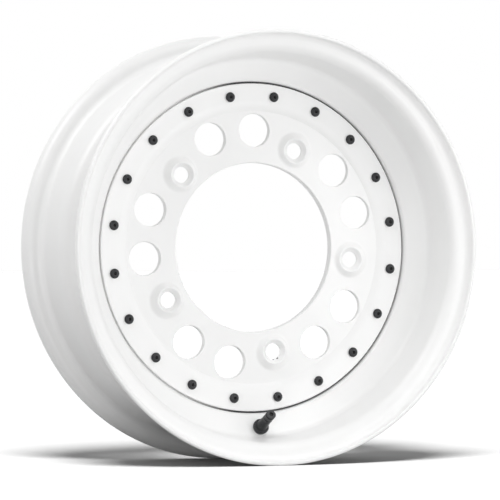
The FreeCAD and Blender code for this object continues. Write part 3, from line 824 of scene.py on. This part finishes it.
@dataclass
class RimHalf:
    """One pressed half of the rim: bolting flange, well, ramp, bead seat and rolled tyre flange."""

    side: Side
    node: str
    name: str
    sheet: float = 0.004
    flange_bore: float = 0.136
    well_radius: float = 0.164
    well_half_width: float = 0.010
    ramp_deg: float = 63.0
    bead_radius: float = 0.1901
    bead_taper_deg: float = 5.0
    half_width: float = 0.0635
    flange_reach: float = 0.0125
    well_bend: float = 0.001
    foot_bend: float = 0.0015
    seat_bend: float = 0.008
    heel_bend: float = 0.0065
    curl_bend: float = 0.0055
    bore_edge_round: float = 0.0005
    lip_round_share: float = 0.48

    def contour(self) -> list[tuple[Vector, float]]:
        """Lay out the tyre's side of the sheet from the bolting flange to the lip.

        Returns:
            Corners as distance from the joint and radius, each with its inside bend.
        """
        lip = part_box(self.node)[1][0]
        foot = Vector((self.well_half_width, self.well_radius))
        heel = Vector((self.half_width, self.bead_radius))
        seat = line_crossing(foot, climbing(self.ramp_deg), heel, climbing(self.bead_taper_deg))
        return [
            (Vector((0.0, self.flange_bore)), 0.0),
            (Vector((0.0, self.well_radius)), self.well_bend),
            (foot, self.foot_bend),
            (seat, self.seat_bend),
            (heel, self.heel_bend),
            (Vector((self.half_width, lip)), self.curl_bend),
            (Vector((self.half_width + self.flange_reach, lip)), 0.0),
        ]

    def outline(self) -> list[Corner]:
        """Give the sheet its thickness.

        Returns:
            Closed outline of the half in the frame's place.
        """
        contour = self.contour()
        points = [point for point, bend in contour]
        ways = [(onward - here).normalized() for here, onward in zip(points, points[1:])]
        aside = [Vector((way.y, -way.x)) * self.sheet for way in ways]
        near = [points[0] + aside[0]]
        outer_bends = [self.bore_edge_round]
        inner_bends = [self.bore_edge_round]
        for index in range(1, len(ways)):
            near.append(line_crossing(points[index] + aside[index - 1], ways[index - 1],
                                      points[index] + aside[index], ways[index]))
            turns_right = ways[index - 1].cross(ways[index]) < 0
            bend = contour[index][1]
            outer_bends.append(bend + self.sheet if turns_right else bend)
            inner_bends.append(bend if turns_right else bend + self.sheet)
        near.append(points[-1] + aside[-1])
        outer_bends.append(self.lip_round_share * self.sheet)
        inner_bends.append(self.lip_round_share * self.sheet)
        there = [self.corner(point, bend) for point, bend in zip(points, outer_bends)]
        back = [self.corner(point, bend) for point, bend in zip(near, inner_bends)]
        return there + back[::-1]

    def corner(self, point: Vector, bend: float) -> Corner:
        """Carry a corner from the joint's measure to the frame."""
        return Corner(point.y, joint_plane() + self.side.value * point.x, bend)

    def build(self, lathe: Lathe, material: bpy.types.Material, cutters: list[bpy.types.Mesh]) -> None:
        """Turn the half, cut its holes and set it in place of its solid.

        Args:
            lathe: Lathe that turns it.
            material: Its paint.
            cutters: Closed meshes of its holes.
        """
        mesh = lathe.turned(rounded_rows(self.outline()), WIDE_SEGMENTS, material)
        for cutter in cutters:
            mesh = cut_mesh(mesh, cutter)
        set_piece(self.name, finished_skin(mesh), Body.WHEEL, [self.node])


@dataclass
class WellBead:
    """Bead of sealant smoothed into the groove between the two halves, in the bottom of the well."""

    groove_round: float = RimHalf.sheet + RimHalf.well_bend
    well_radius: float = RimHalf.well_radius
    clearance: float = 0.00005
    foot_deg: float = 14.0
    below_well: float = 0.0006
    hollow: float = 0.0004
    hollow_steps: int = 8

    def build(self, lathe: Lathe, material: bpy.types.Material) -> None:
        """Turn the bead against the two rounded edges and set it in place.

        Args:
            lathe: Lathe that turns it.
            material: Its sealant.
        """
        round_radius = self.groove_round + self.clearance
        low = self.well_radius - self.groove_round
        top = self.well_radius - self.below_well
        foot = math.radians(self.foot_deg)
        head = math.asin((top - low) / round_radius)
        start = Vector((math.sin(foot), -math.cos(foot))) * round_radius
        middle = joint_plane()
        climb = arc_rows(Vector((low, middle + self.groove_round)), start, head - foot)
        mirror = [Row(row.radius, 2 * middle - row.along) for row in reversed(climb)]
        across = climb[-1].along - mirror[0].along
        smoothed = []
        for step in range(1, self.hollow_steps):
            share = step / self.hollow_steps
            dip = self.hollow * 4 * share * (1 - share)
            smoothed.append(Row(top - dip, climb[-1].along - across * share))
        rows = climb + smoothed + mirror + climb[:1]
        mesh = lathe.turned(rows, WIDE_SEGMENTS, material)
        set_piece("well_bead", mesh, Body.WHEEL, ["joint_sealant"])


@dataclass(frozen=True)
class ThreadRidge:
    """Ridge of an outside thread about the Y axis, fading in and out at its ends."""

    root: float
    crest: float
    pitch: float
    steps_per_turn: int = 36
    foot_share: float = 0.42
    crest_share: float = 0.06
    sink_share: float = 0.1
    fade_turns: float = 0.25

    def section(self, along: float, turn: float, fade: float) -> list[tuple[float, float, float]]:
        """Place the four corners of the ridge at one turn.

        Args:
            along: Place of the ridge's middle along the axis.
            turn: Angle round the axis.
            fade: Share of the ridge's whole height.

        Returns:
            The corners in order.
        """
        half_foot = self.foot_share * self.pitch
        half_crest = self.crest_share * self.pitch
        low = self.root - self.sink_share * (self.crest - self.root)
        high = self.root + (self.crest - self.root) * fade
        corners = ((low, -half_foot), (high, -half_crest), (high, half_crest), (low, half_foot))
        return [(reach * math.cos(turn), along + shift, reach * math.sin(turn)) for reach, shift in corners]

    def wound(self, low: float, high: float) -> bpy.types.Mesh:
        """Wind the ridge.

        Args:
            low: Place along the axis where the ridge begins.
            high: Place where it ends.

        Returns:
            The closed ridge's mesh.
        """
        half_foot = self.foot_share * self.pitch
        first = low + half_foot
        turns = (high - low - 2 * half_foot) / self.pitch
        steps = max(2, round(turns * self.steps_per_turn))
        fade_steps = self.fade_turns * self.steps_per_turn
        skin = bmesh.new()
        sections = []
        for step in range(steps + 1):
            fade = min(1.0, step / fade_steps, (steps - step) / fade_steps)
            along = first + self.pitch * turns * step / steps
            corners = self.section(along, math.tau * turns * step / steps, fade)
            sections.append([skin.verts.new(corner) for corner in corners])
        for here, onward in zip(sections, sections[1:]):
            for index in range(len(here)):
                after = (index + 1) % len(here)
                skin.faces.new((here[index], here[after], onward[after], onward[index]))
        skin.faces.new(sections[0][::-1])
        skin.faces.new(sections[-1])
        bmesh.ops.recalc_face_normals(skin, faces=skin.faces)
        mesh = bpy.data.meshes.new("ridge")
        skin.to_mesh(mesh)
        skin.free()
        return mesh


@dataclass
class RimScrews:
    """Twenty black screws through disc and halves, with washers and locking nuts behind."""

    circle: float = 0.1466
    count: int = 20
    shank: float = 0.0025
    root: float = 0.0021
    pitch: float = 0.0008
    head_radius: float = 0.00475
    head_height: float = 0.00275
    head_rim: float = 0.00035
    head_top: float = 0.0024
    under_round: float = 0.0001
    socket_flats: float = 0.003
    socket_depth: float = 0.0016
    socket_mouth: float = 0.00018
    drill_point: float = 0.0008
    tail_chamfer: float = 0.0004
    hole_clearance: float = 0.00015
    washer_radius: float = 0.005
    washer_round: float = 0.00018
    nut_flats: float = 0.008
    nut_hexagon: float = 0.0038
    nut_chamfer_deg: float = 30.0
    collar_wall: float = 0.0004
    ring_wall: float = 0.0007
    thread_clearance: float = 0.00005
    edge_round: float = 0.00015

    def first_deg(self) -> float:
        """Return the clock angle of the first screw."""
        return WHEEL_TURN_DEG + 180.0 / self.count

    def repeated(self, mesh: bpy.types.Mesh, ring: Ring, material: bpy.types.Material) -> bpy.types.Mesh:
        """Carry a mesh from the axis to the screw circle and repeat it there."""
        mesh.transform(Matrix.Translation((0.0, 0.0, -self.circle)))
        return ring.repeated(mesh, self.count, self.first_deg(), material)

    def from_axis(self, place: Vector) -> float:
        """Measure how far a point is from the axis of the nearest screw.

        Args:
            place: The point.

        Returns:
            The distance.
        """
        step = math.tau / self.count
        first = math.radians(self.first_deg())
        clock = math.atan2(-place.x, -place.z)
        nearest = first + step * round((clock - first) / step)
        across = place.x + self.circle * math.sin(nearest)
        up = place.z + self.circle * math.cos(nearest)
        return math.hypot(across, up)

    def head_rows(self, seat: float) -> list[Row]:
        """Trace the socket and the dome of a head.

        Args:
            seat: Place along the axis of the face under the head.

        Returns:
            Rows from the middle of the socket's floor to the edge under the head.
        """
        top = seat - self.head_height
        floor = top + self.socket_depth
        half = self.socket_flats / 2
        mouth = half + self.socket_mouth
        rise = self.head_height - self.head_rim
        middle = (rise ** 2 + self.head_top ** 2 - self.head_radius ** 2) / (2 * rise)
        centre = Vector((0.0, seat - self.head_rim - middle))
        start = Vector((self.head_top, top)) - centre
        end = Vector((self.head_radius, seat - self.head_rim)) - centre
        turn = math.copysign(start.angle(end), start.cross(end))
        return [
            Row(0.0, floor + self.drill_point),
            Row(half, floor, 1.0),
            Row(half, top + self.socket_mouth, 1.0),
            Row(mouth, top, 1.0),
            *arc_rows(centre, start, turn),
            Row(self.head_radius, seat - self.under_round),
            Row(self.head_radius - self.under_round, seat),
        ]

    def build_screws(self, lathe: Lathe, ring: Ring, material: bpy.types.Material) -> None:
        """Turn one screw, wind its thread and repeat it.

        Args:
            lathe: Lathe that turns it.
            ring: Ring that repeats it.
            material: Its black finish.
        """
        top, tail = reach_along("rim_screws")
        seat = top + self.head_height
        thread_from = reach_along("rim_nuts")[1] - self.pitch
        thread_to = tail - self.tail_chamfer
        rows = self.head_rows(seat) + [
            Row(self.shank, seat),
            Row(self.shank, thread_from),
            Row(self.root, thread_from),
            Row(self.root, thread_to),
            Row(self.root - self.tail_chamfer, tail),
            Row(0.0, tail),
        ]
        turned = lathe.turned(rows, SMALL_SEGMENTS, material)
        thread = ThreadRidge(self.root, self.shank, self.pitch).wound(thread_from, thread_to)
        mesh = self.repeated(joined_mesh([turned, thread]), ring, material)
        floor = top + self.socket_depth
        half = self.socket_flats / 2
        # Socket faces are marked for painted shade
        mark_painted_shade(mesh, lambda place: floor <= place.y < seat and self.from_axis(place) < half)
        set_piece("screw_circle", mesh, Body.WHEEL, ["rim_screws"])

    def build_washers(self, lathe: Lathe, ring: Ring, material: bpy.types.Material) -> None:
        """Turn one washer with punched, rounded edges and repeat it.

        Args:
            lathe: Lathe that turns it.
            ring: Ring that repeats it.
            material: Its plating.
        """
        front, back = reach_along("rim_washers")
        bore = self.shank + self.hole_clearance
        corners = [
            Corner(bore, front, self.washer_round),
            Corner(self.washer_radius, front, self.washer_round),
            Corner(self.washer_radius, back, self.washer_round),
            Corner(bore, back, self.washer_round),
        ]
        washer = lathe.turned(rounded_rows(corners), SMALL_SEGMENTS, material)
        mesh = self.repeated(washer, ring, material)
        set_piece("washer_circle", mesh, Body.WHEEL, ["rim_washers"])

    def build_nuts(self, lathe: Lathe, ring: Ring, material: bpy.types.Material) -> None:
        """Turn one nut with chamfered corners and a collar, and repeat it.

        Args:
            lathe: Lathe that turns it.
            ring: Ring that repeats it.
            material: Its plating.
        """
        base, top = reach_along("rim_nuts")
        neck = base + self.nut_hexagon
        half = self.nut_flats / 2
        slope = math.tan(math.radians(self.nut_chamfer_deg))
        bore = self.shank + self.thread_clearance
        pocket = bore + self.ring_wall
        collar = pocket + self.collar_wall
        face = half - self.edge_round
        rows = [
            Row(bore, base),
            Row(face, base),
            Row(half, base, 1.0, slope),
            Row(half, neck, 1.0, -slope),
            Row(face, neck),
            Row(collar, neck),
            Row(collar, top - self.edge_round),
            Row(collar - self.edge_round, top),
            Row(pocket, top),
            Row(pocket, neck),
            Row(bore, neck),
            Row(bore, base),
        ]
        mesh = self.repeated(lathe.turned(rows, SMALL_SEGMENTS, material), ring, material)
        set_piece("nut_circle", mesh, Body.WHEEL, ["rim_nuts"])

    def build_inserts(self, lathe: Lathe, ring: Ring, material: bpy.types.Material) -> None:
        """Turn one nylon insert, its mouth eased by the screw, and repeat it.

        Args:
            lathe: Lathe that turns it.
            ring: Ring that repeats it.
            material: Its nylon.
        """
        foot, top = reach_along("nut_rings")
        bore = self.shank + self.thread_clearance
        wall = bore + self.ring_wall
        corners = [
            Corner(bore, foot),
            Corner(wall, foot),
            Corner(wall, top, self.edge_round),
            Corner(bore, top, 2 * self.edge_round),
        ]
        insert = lathe.turned(rounded_rows(corners), SMALL_SEGMENTS, material)
        mesh = self.repeated(insert, ring, material)
        set_piece("insert_circle", mesh, Body.WHEEL, ["nut_rings"])

    def hole_cutter(self, lathe: Lathe, ring: Ring, material: bpy.types.Material) -> bpy.types.Mesh:
        """Make the closed pins that cut the screws' holes through a half.

        Args:
            lathe: Lathe that turns one pin.
            ring: Ring that repeats it.
            material: Paint of the hole's wall.

        Returns:
            The cutter's mesh.
        """
        pin = lathe.pin(self.shank + self.hole_clearance, *reach_along("rim_screws"), material)
        return self.repeated(pin, ring, material)


@dataclass
class Valve:
    """Snap-in tyre valve through the outer half's ramp: rubber stem, brass tube and dust cap."""

    hole: float = 0.00575
    stem_bore: float = 0.0032
    foot: float = 0.0054
    bulb: float = 0.0095
    groove: float = 0.00565
    collar_foot: float = 0.0069
    collar: float = 0.00765
    neck_foot: float = 0.0053
    neck: float = 0.0046
    fillet: float = 0.0014
    base_at: float = -0.0151
    shoulder_at: float = -0.0096
    groove_back_at: float = -0.0041
    groove_front_at: float = 0.0001
    waist_at: float = 0.003
    collar_top_at: float = 0.006
    tip_at: float = 0.0196
    cap_foot: float = 0.0202
    cap_length: float = 0.0118
    cap_radius: float = 0.0047
    cap_bore: float = 0.004
    cap_roof: float = 0.0014
    cap_round: float = 0.0005
    cap_groove_depth: float = 0.00045
    cap_groove_width: float = 0.0012
    cap_grooves_from_top: tuple[float, ...] = (0.0074, 0.0013)
    dimple_radius: float = 0.0021
    dimple_depth: float = 0.0011
    small_round: float = 0.0001
    tube_bore: float = 0.0018
    tube_mouth: float = 0.0026
    tube_crest: float = 0.00385
    tube_root: float = 0.0035
    tube_pitch: float = 0.0008
    tube_foot: float = -0.015
    tube_end: float = 0.0294
    core_foot: float = 0.01835

    def axis(self) -> Vector:
        """Return the outward direction of the valve, which is the cap's slide."""
        return Vector(next(joint["axis"] for joint in frame["joints"] if joint["name"] == "cap_off"))

    def placement(self) -> Matrix:
        """Find the valve's place from the cap's box, whose middle lies on the axis.

        Returns:
            Matrix from the valve's own axis along Y to the frame.
        """
        low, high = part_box("valve_cap")
        middle = (Vector(low) + Vector(high)) / 2
        origin = middle - self.axis() * (self.cap_foot + self.cap_length / 2)
        turn = Vector((0.0, 1.0, 0.0)).rotation_difference(self.axis())
        return Matrix.Translation(origin) @ turn.to_matrix().to_4x4()

    def placed(self, mesh: bpy.types.Mesh) -> bpy.types.Mesh:
        """Carry a mesh from the valve's own axis to its place in the ramp."""
        mesh.transform(self.placement())
        return mesh

    def hole_cutter(self, lathe: Lathe, material: bpy.types.Material) -> bpy.types.Mesh:
        """Make the pin that cuts the valve's hole."""
        return self.placed(lathe.pin(self.hole, self.shoulder_at, self.collar_top_at, material))

    def build_stem(self, lathe: Lathe, material: bpy.types.Material) -> None:
        """Turn the moulded rubber stem and set it in place.

        Args:
            lathe: Lathe that turns it.
            material: Its rubber.
        """
        corners = [
            Corner(self.stem_bore, self.base_at),
            Corner(self.foot, self.base_at, self.fillet),
            Corner(self.bulb, self.shoulder_at, self.fillet),
            Corner(self.bulb, self.groove_back_at, self.small_round),
            Corner(self.groove, self.groove_back_at),
            Corner(self.groove, self.groove_front_at),
            Corner(self.collar_foot, self.groove_front_at, self.small_round),
            Corner(self.collar, self.waist_at, self.fillet),
            Corner(self.collar, self.collar_top_at, self.fillet),
            Corner(self.neck_foot, self.collar_top_at, self.fillet / 2),
            Corner(self.neck, self.tip_at, self.small_round),
            Corner(self.stem_bore, self.tip_at),
        ]
        mesh = self.placed(lathe.turned(rounded_rows(corners), SMALL_SEGMENTS, material))
        set_piece("valve_stem", finished_skin(mesh), Body.WHEEL, ["valve_body"])

    def build_tube(self, lathe: Lathe, material: bpy.types.Material) -> None:
        """Turn the brass tube, wind the cap's thread on its end and set it in place.

        Args:
            lathe: Lathe that turns it.
            material: Its brass.
        """
        thread_from = self.tip_at + self.tube_pitch
        chamfer = self.tube_crest - self.tube_root
        thread_to = self.tube_end - chamfer
        rows = [
            Row(self.tube_bore, self.tube_foot),
            Row(self.stem_bore, self.tube_foot),
            Row(self.stem_bore, self.tip_at),
            Row(self.tube_crest, self.tip_at),
            Row(self.tube_crest, thread_from),
            Row(self.tube_root, thread_from),
            Row(self.tube_root, thread_to),
            Row(self.tube_root - chamfer, self.tube_end),
            Row(self.tube_mouth, self.tube_end),
            Row(self.tube_mouth, self.core_foot),
            Row(self.tube_bore, self.core_foot),
            Row(self.tube_bore, self.tube_foot),
        ]
        turned = lathe.turned(rows, SMALL_SEGMENTS, material)
        thread = ThreadRidge(self.tube_root, self.tube_crest, self.tube_pitch).wound(thread_from, thread_to)
        mesh = self.placed(joined_mesh([turned, thread]))
        mesh.materials.append(material)
        set_piece("threaded_tube", mesh, Body.WHEEL, ["valve_tube"])

    def cap_end(self) -> float:
        """Return the place of the cap's outer end along the valve."""
        return self.cap_foot + self.cap_length

    def cap_groove_tops(self) -> list[float]:
        """Return the places along the valve where the cap's grooves end."""
        return [self.cap_end() - below for below in self.cap_grooves_from_top]

    def in_cap_painted_shade(self, place: Vector) -> bool:
        """Tell whether a point of the cap lies in its dimple or in a groove, where shade is painted.

        Args:
            place: The point, with the valve's axis along Y.

        Returns:
            True in a hollow.
        """
        reach = math.hypot(place.x, place.z)
        if reach < self.dimple_radius:
            return place.y > self.cap_end() - self.cap_roof
        if not self.cap_bore < reach < self.cap_radius - self.cap_groove_depth / 2:
            return False
        return any(top - self.cap_groove_width < place.y < top for top in self.cap_groove_tops())

    def build_cap(self, lathe: Lathe, material: bpy.types.Material) -> None:
        """Turn the dust cap with its grooves and dimple and set it in place.

        Args:
            lathe: Lathe that turns it.
            material: Its plastic.
        """
        end = self.cap_end()
        roof = end - self.cap_roof
        waist = self.cap_radius - self.cap_groove_depth
        corners = [
            Corner(0.0, roof),
            Corner(self.cap_bore, roof),
            Corner(self.cap_bore, self.cap_foot, self.small_round),
            Corner(self.cap_radius, self.cap_foot, self.small_round),
        ]
        for top in self.cap_groove_tops():
            bottom = top - self.cap_groove_width
            groove = ((self.cap_radius, bottom), (waist, bottom), (waist, top), (self.cap_radius, top))
            corners += [Corner(reach, along, self.small_round) for reach, along in groove]
        corners += [
            Corner(self.cap_radius, end, self.cap_round),
            Corner(self.dimple_radius, end, self.small_round),
            Corner(self.dimple_radius, end - self.dimple_depth, 2 * self.small_round),
            Corner(0.0, end - self.dimple_depth),
        ]
        rows = rounded_rows(corners)[:-1]
        mesh = finished_skin(lathe.turned(rows, SMALL_SEGMENTS, material))
        # Dimple and grooves are marked for painted shade
        mark_painted_shade(mesh, self.in_cap_painted_shade)
        set_piece("dust_cap", self.placed(mesh), Body.CAP, ["valve_cap"])

    def dress(self, brass: bpy.types.Material, rubber: bpy.types.Material) -> None:
        """Dress the solids inside the valve.

        Args:
            brass: Finish of the core and the pin.
            rubber: Finish of the seals.
        """
        for node in ("valve_core", "valve_pin"):
            dress_node(node, brass)
        for node in ("valve_plunger", "cap_seal"):
            dress_node(node, rubber)


@dataclass
class CentreDisc:
    """Spun centre disc, kept as its solid, with the chips at the edge of the lowest lug hole."""

    lug_circle: float = 0.1025
    lug_from_valve_deg: float = -10.65
    lug_hole: float = 0.00775
    land_front: float = -0.00735
    chip_angles_deg: tuple[float, ...] = (-57.0, -88.0)
    chip_radii: tuple[float, ...] = (0.0012, 0.0009)

    def chips(self) -> tuple[Chip, ...]:
        """Place the chips on the front edge of the lug hole.

        Returns:
            The chips.
        """
        turn = math.radians(WHEEL_TURN_DEG + self.lug_from_valve_deg)
        lug = Vector((-self.lug_circle * math.sin(turn), self.land_front, -self.lug_circle * math.cos(turn)))
        chips = []
        for degrees, radius in zip(self.chip_angles_deg, self.chip_radii):
            angle = math.radians(degrees)
            edge = Vector((math.cos(angle), 0.0, math.sin(angle))) * self.lug_hole
            chips.append(Chip(tuple(lug + edge), radius))
        return tuple(chips)

    def dress(self) -> None:
        """Paint the disc, and give the seal at its edge a black sealant colour that also paints the gap's
        shade, with painted light on the wheel's left.
        """
        dress_node("center_disc", PaintFinish("disc_white", chips=self.chips()).material())
        dress_node("disc_edge_seal", SEAL_BLACK_AND_GAP_SHADE.material())


@dataclass(frozen=True)
class SoftBox:
    """Soft lamp that lights the wheel and leaves the floor alone."""

    name: str
    place: tuple[float, float, float]
    aim: tuple[float, float, float]
    wide: float
    tall: float
    watts: float

    def hang(self, skipped: bpy.types.Collection) -> None:
        """Hang the lamp.

        Args:
            skipped: Collection that excludes what the lamp leaves alone.
        """
        lamp = bpy.data.lights.new(self.name, "AREA")
        lamp.shape = "RECTANGLE"
        lamp.size = self.wide
        lamp.size_y = self.tall
        lamp.energy = self.watts
        hung = add_object(self.name, lamp)
        hung.location = self.place
        hung.rotation_euler = (Vector(self.place) - Vector(self.aim)).to_track_quat("Z", "Y").to_euler()
        hung.visible_camera = False
        hung.light_linking.receiver_collection = skipped


LOW_FILL = SoftBox("low_fill", (-0.1, -1.0, -0.1), (0.0, 0.0, 0.15), 1.6, 0.2, 3.9)
RIGHT_BOX = SoftBox("right_box", (0.9, -0.9, 0.2), (0.0, 0.0, 0.0), 0.8, 0.8, 4.45)
HIGH_BOX = SoftBox("high_box", (0.4, -0.8, 1.05), (0.0, 0.0, 0.0), 0.8, 0.8, 3.6)
LEFT_BOX = SoftBox("left_box", (-1.1, -0.3, 1.2), (0.0, 0.0, 0.0), 0.8, 0.8, 13.0)


@dataclass
class Studio:
    """Pale floor, soft studio light and the camera of the photograph."""

    floor_half: float = 30.0
    floor_seen: Colour = (0.47, 0.47, 0.47, 1.0)
    floor_bounce: Colour = (0.215, 0.215, 0.215, 1.0)
    sky_top: float = 0.3
    sky_back: float = 0.95
    boxes: tuple[SoftBox, ...] = (LOW_FILL, RIGHT_BOX, HIGH_BOX, LEFT_BOX)
    floor_lamp: float = 7.4
    floor_lamp_angle_deg: float = 22.0
    floor_lamp_from: tuple[float, float, float] = (-0.31, -0.72, 1.0)
    lens_mm: float = 279.72
    sensor_mm: float = 36.0
    azimuth_deg: float = -23.451
    distance: float = 3.74567
    aim: tuple[float, float, float] = (-0.003937, -0.007292, -0.002546)
    sight: float = 100.0
    seen_rays: tuple[str, ...] = ("Is Camera Ray", "Is Glossy Ray", "Is Transmission Ray")

    def seen_directly(self, tree: bpy.types.NodeTree) -> bpy.types.NodeSocket:
        """Tell rays that show the background from those that only light the object.

        Args:
            tree: Tree that asks.

        Returns:
            One for camera, glossy and transmission rays, else nought.
        """
        path = tree.nodes.new("ShaderNodeLightPath")
        result = path.outputs[self.seen_rays[0]]
        for label in self.seen_rays[1:]:
            feeds = {0: result, 1: path.outputs[label]}
            result = add_node(tree, "ShaderNodeMath", feeds, operation="MAXIMUM").outputs[0]
        return result

    def build_floor(self) -> bpy.types.Object:
        """Lay the pale floor under the wheel.

        Returns:
            The floor.
        """
        level = CAD_BOX[0][2]
        half = self.floor_half
        mesh = bpy.data.meshes.new("studio_floor")
        corners = [(-half, -half, level), (half, -half, level), (half, half, level), (-half, half, level)]
        mesh.from_pydata(corners, [], [(0, 1, 2, 3)])
        sheet = FinishSheet("floor_pale", {"Roughness": 1.0, "Specular IOR Level": 0.0})
        seen = self.seen_directly(sheet.tree)
        sheet.drive("Base Color", sheet.mixed(seen, self.floor_bounce, self.floor_seen))
        mesh.materials.append(sheet.material)
        floor = add_object("studio_floor", mesh)
        return floor

    def hang_floor_lamp(self, floor: bpy.types.Object) -> None:
        """Hang a lamp that lights the floor alone, on which the wheel throws its shadow.

        Args:
            floor: The floor.
        """
        lamp = bpy.data.lights.new("floor_lamp", "SUN")
        lamp.energy = self.floor_lamp
        lamp.angle = math.radians(self.floor_lamp_angle_deg)
        hung = add_object("floor_lamp", lamp)
        hung.rotation_euler = Vector(self.floor_lamp_from).to_track_quat("Z", "Y").to_euler()
        lit = bpy.data.collections.new("lit_by_floor_lamp")
        lit.objects.link(floor)
        hung.light_linking.receiver_collection = lit

    def hang_boxes(self, floor: bpy.types.Object) -> None:
        """Hang the soft boxes, which skip the floor.

        Args:
            floor: The floor.
        """
        skipped = bpy.data.collections.new("not_lit_by_boxes")
        skipped.objects.link(floor)
        skipped.collection_objects[0].light_linking.link_state = "EXCLUDE"
        for box in self.boxes:
            box.hang(skipped)

    def build_sky(self) -> None:
        """Surround the wheel with soft light from the top and the back, and show the rest as white."""
        world = bpy.data.worlds.new("studio_sky")
        bpy.context.scene.world = world
        world.use_nodes = True
        tree = world.node_tree
        way = tree.nodes.new("ShaderNodeTexCoord").outputs["Generated"]
        glows = []
        for facing in ((0.0, 0.0, self.sky_top), (0.0, self.sky_back, 0.0)):
            toward = add_node(tree, "ShaderNodeVectorMath", {0: way, 1: facing}, operation="DOT_PRODUCT")
            feeds = {0: toward.outputs["Value"], 1: 0.0}
            glows.append(add_node(tree, "ShaderNodeMath", feeds, operation="MAXIMUM").outputs[0])
        total = add_node(tree, "ShaderNodeMath", dict(enumerate(glows)), operation="ADD")
        light = tree.nodes["Background"]
        light.inputs["Color"].default_value = WHITE
        feed(tree, light.inputs["Strength"], total.outputs[0])
        shown = add_node(tree, "ShaderNodeBackground", {"Color": WHITE})
        feeds = {0: self.seen_directly(tree), 1: light.outputs[0], 2: shown.outputs[0]}
        sky = add_node(tree, "ShaderNodeMixShader", feeds)
        feed(tree, tree.nodes["World Output"].inputs["Surface"], sky.outputs[0])

    def build_camera(self) -> None:
        """Stand the camera where the photograph was taken."""
        azimuth = math.radians(self.azimuth_deg)
        aim = Vector(self.aim)
        away = Vector((math.sin(azimuth), -math.cos(azimuth), 0.0))
        lens = bpy.data.cameras.new("photo_camera")
        lens.sensor_width = self.sensor_mm
        lens.lens = self.lens_mm
        lens.clip_end = self.sight
        camera = add_object("photo_camera", lens)
        camera.location = aim + away * self.distance
        camera.rotation_euler = away.to_track_quat("Z", "Y").to_euler()
        bpy.context.scene.camera = camera

    def build(self) -> None:
        """Set up the floor, the light and the camera."""
        bpy.context.scene.view_settings.view_transform = "Standard"
        floor = self.build_floor()
        self.hang_floor_lamp(floor)
        self.hang_boxes(floor)
        self.build_sky()
        self.build_camera()
        LOG.info("studio: floor, lamps, sky and camera")


def main() -> None:
    """Build the wheel's pieces in order and light them."""
    logging.basicConfig(level=logging.INFO, format="%(name)s: %(message)s")
    lathe = Lathe()
    ring = Ring()
    white = RIM_WHITE.material()
    screws = RimScrews()
    valve = Valve()
    outer_cutters = [screws.hole_cutter(lathe, ring, white), valve.hole_cutter(lathe, white)]
    RimHalf(Side.OUTER, "outer_rim_half", "outer_half").build(lathe, white, outer_cutters)
    inner_cutters = [screws.hole_cutter(lathe, ring, white)]
    RimHalf(Side.INNER, "inner_rim_half", "inner_half").build(lathe, white, inner_cutters)
    WellBead().build(lathe, SEALANT_GREY.material())
    CentreDisc().dress()
    zinc = ZINC.material()
    screws.build_screws(lathe, ring, BLACK_OXIDE.material())
    screws.build_washers(lathe, ring, zinc)
    screws.build_nuts(lathe, ring, zinc)
    screws.build_inserts(lathe, ring, NYLON.material())
    rubber = RUBBER.material()
    valve.build_stem(lathe, rubber)
    brass = BRASS.material()
    valve.build_tube(lathe, brass)
    valve.build_cap(lathe, CAP_PLASTIC.material())
    valve.dress(brass, rubber)
    Studio().build()


if __name__ == "__main__":
    main()
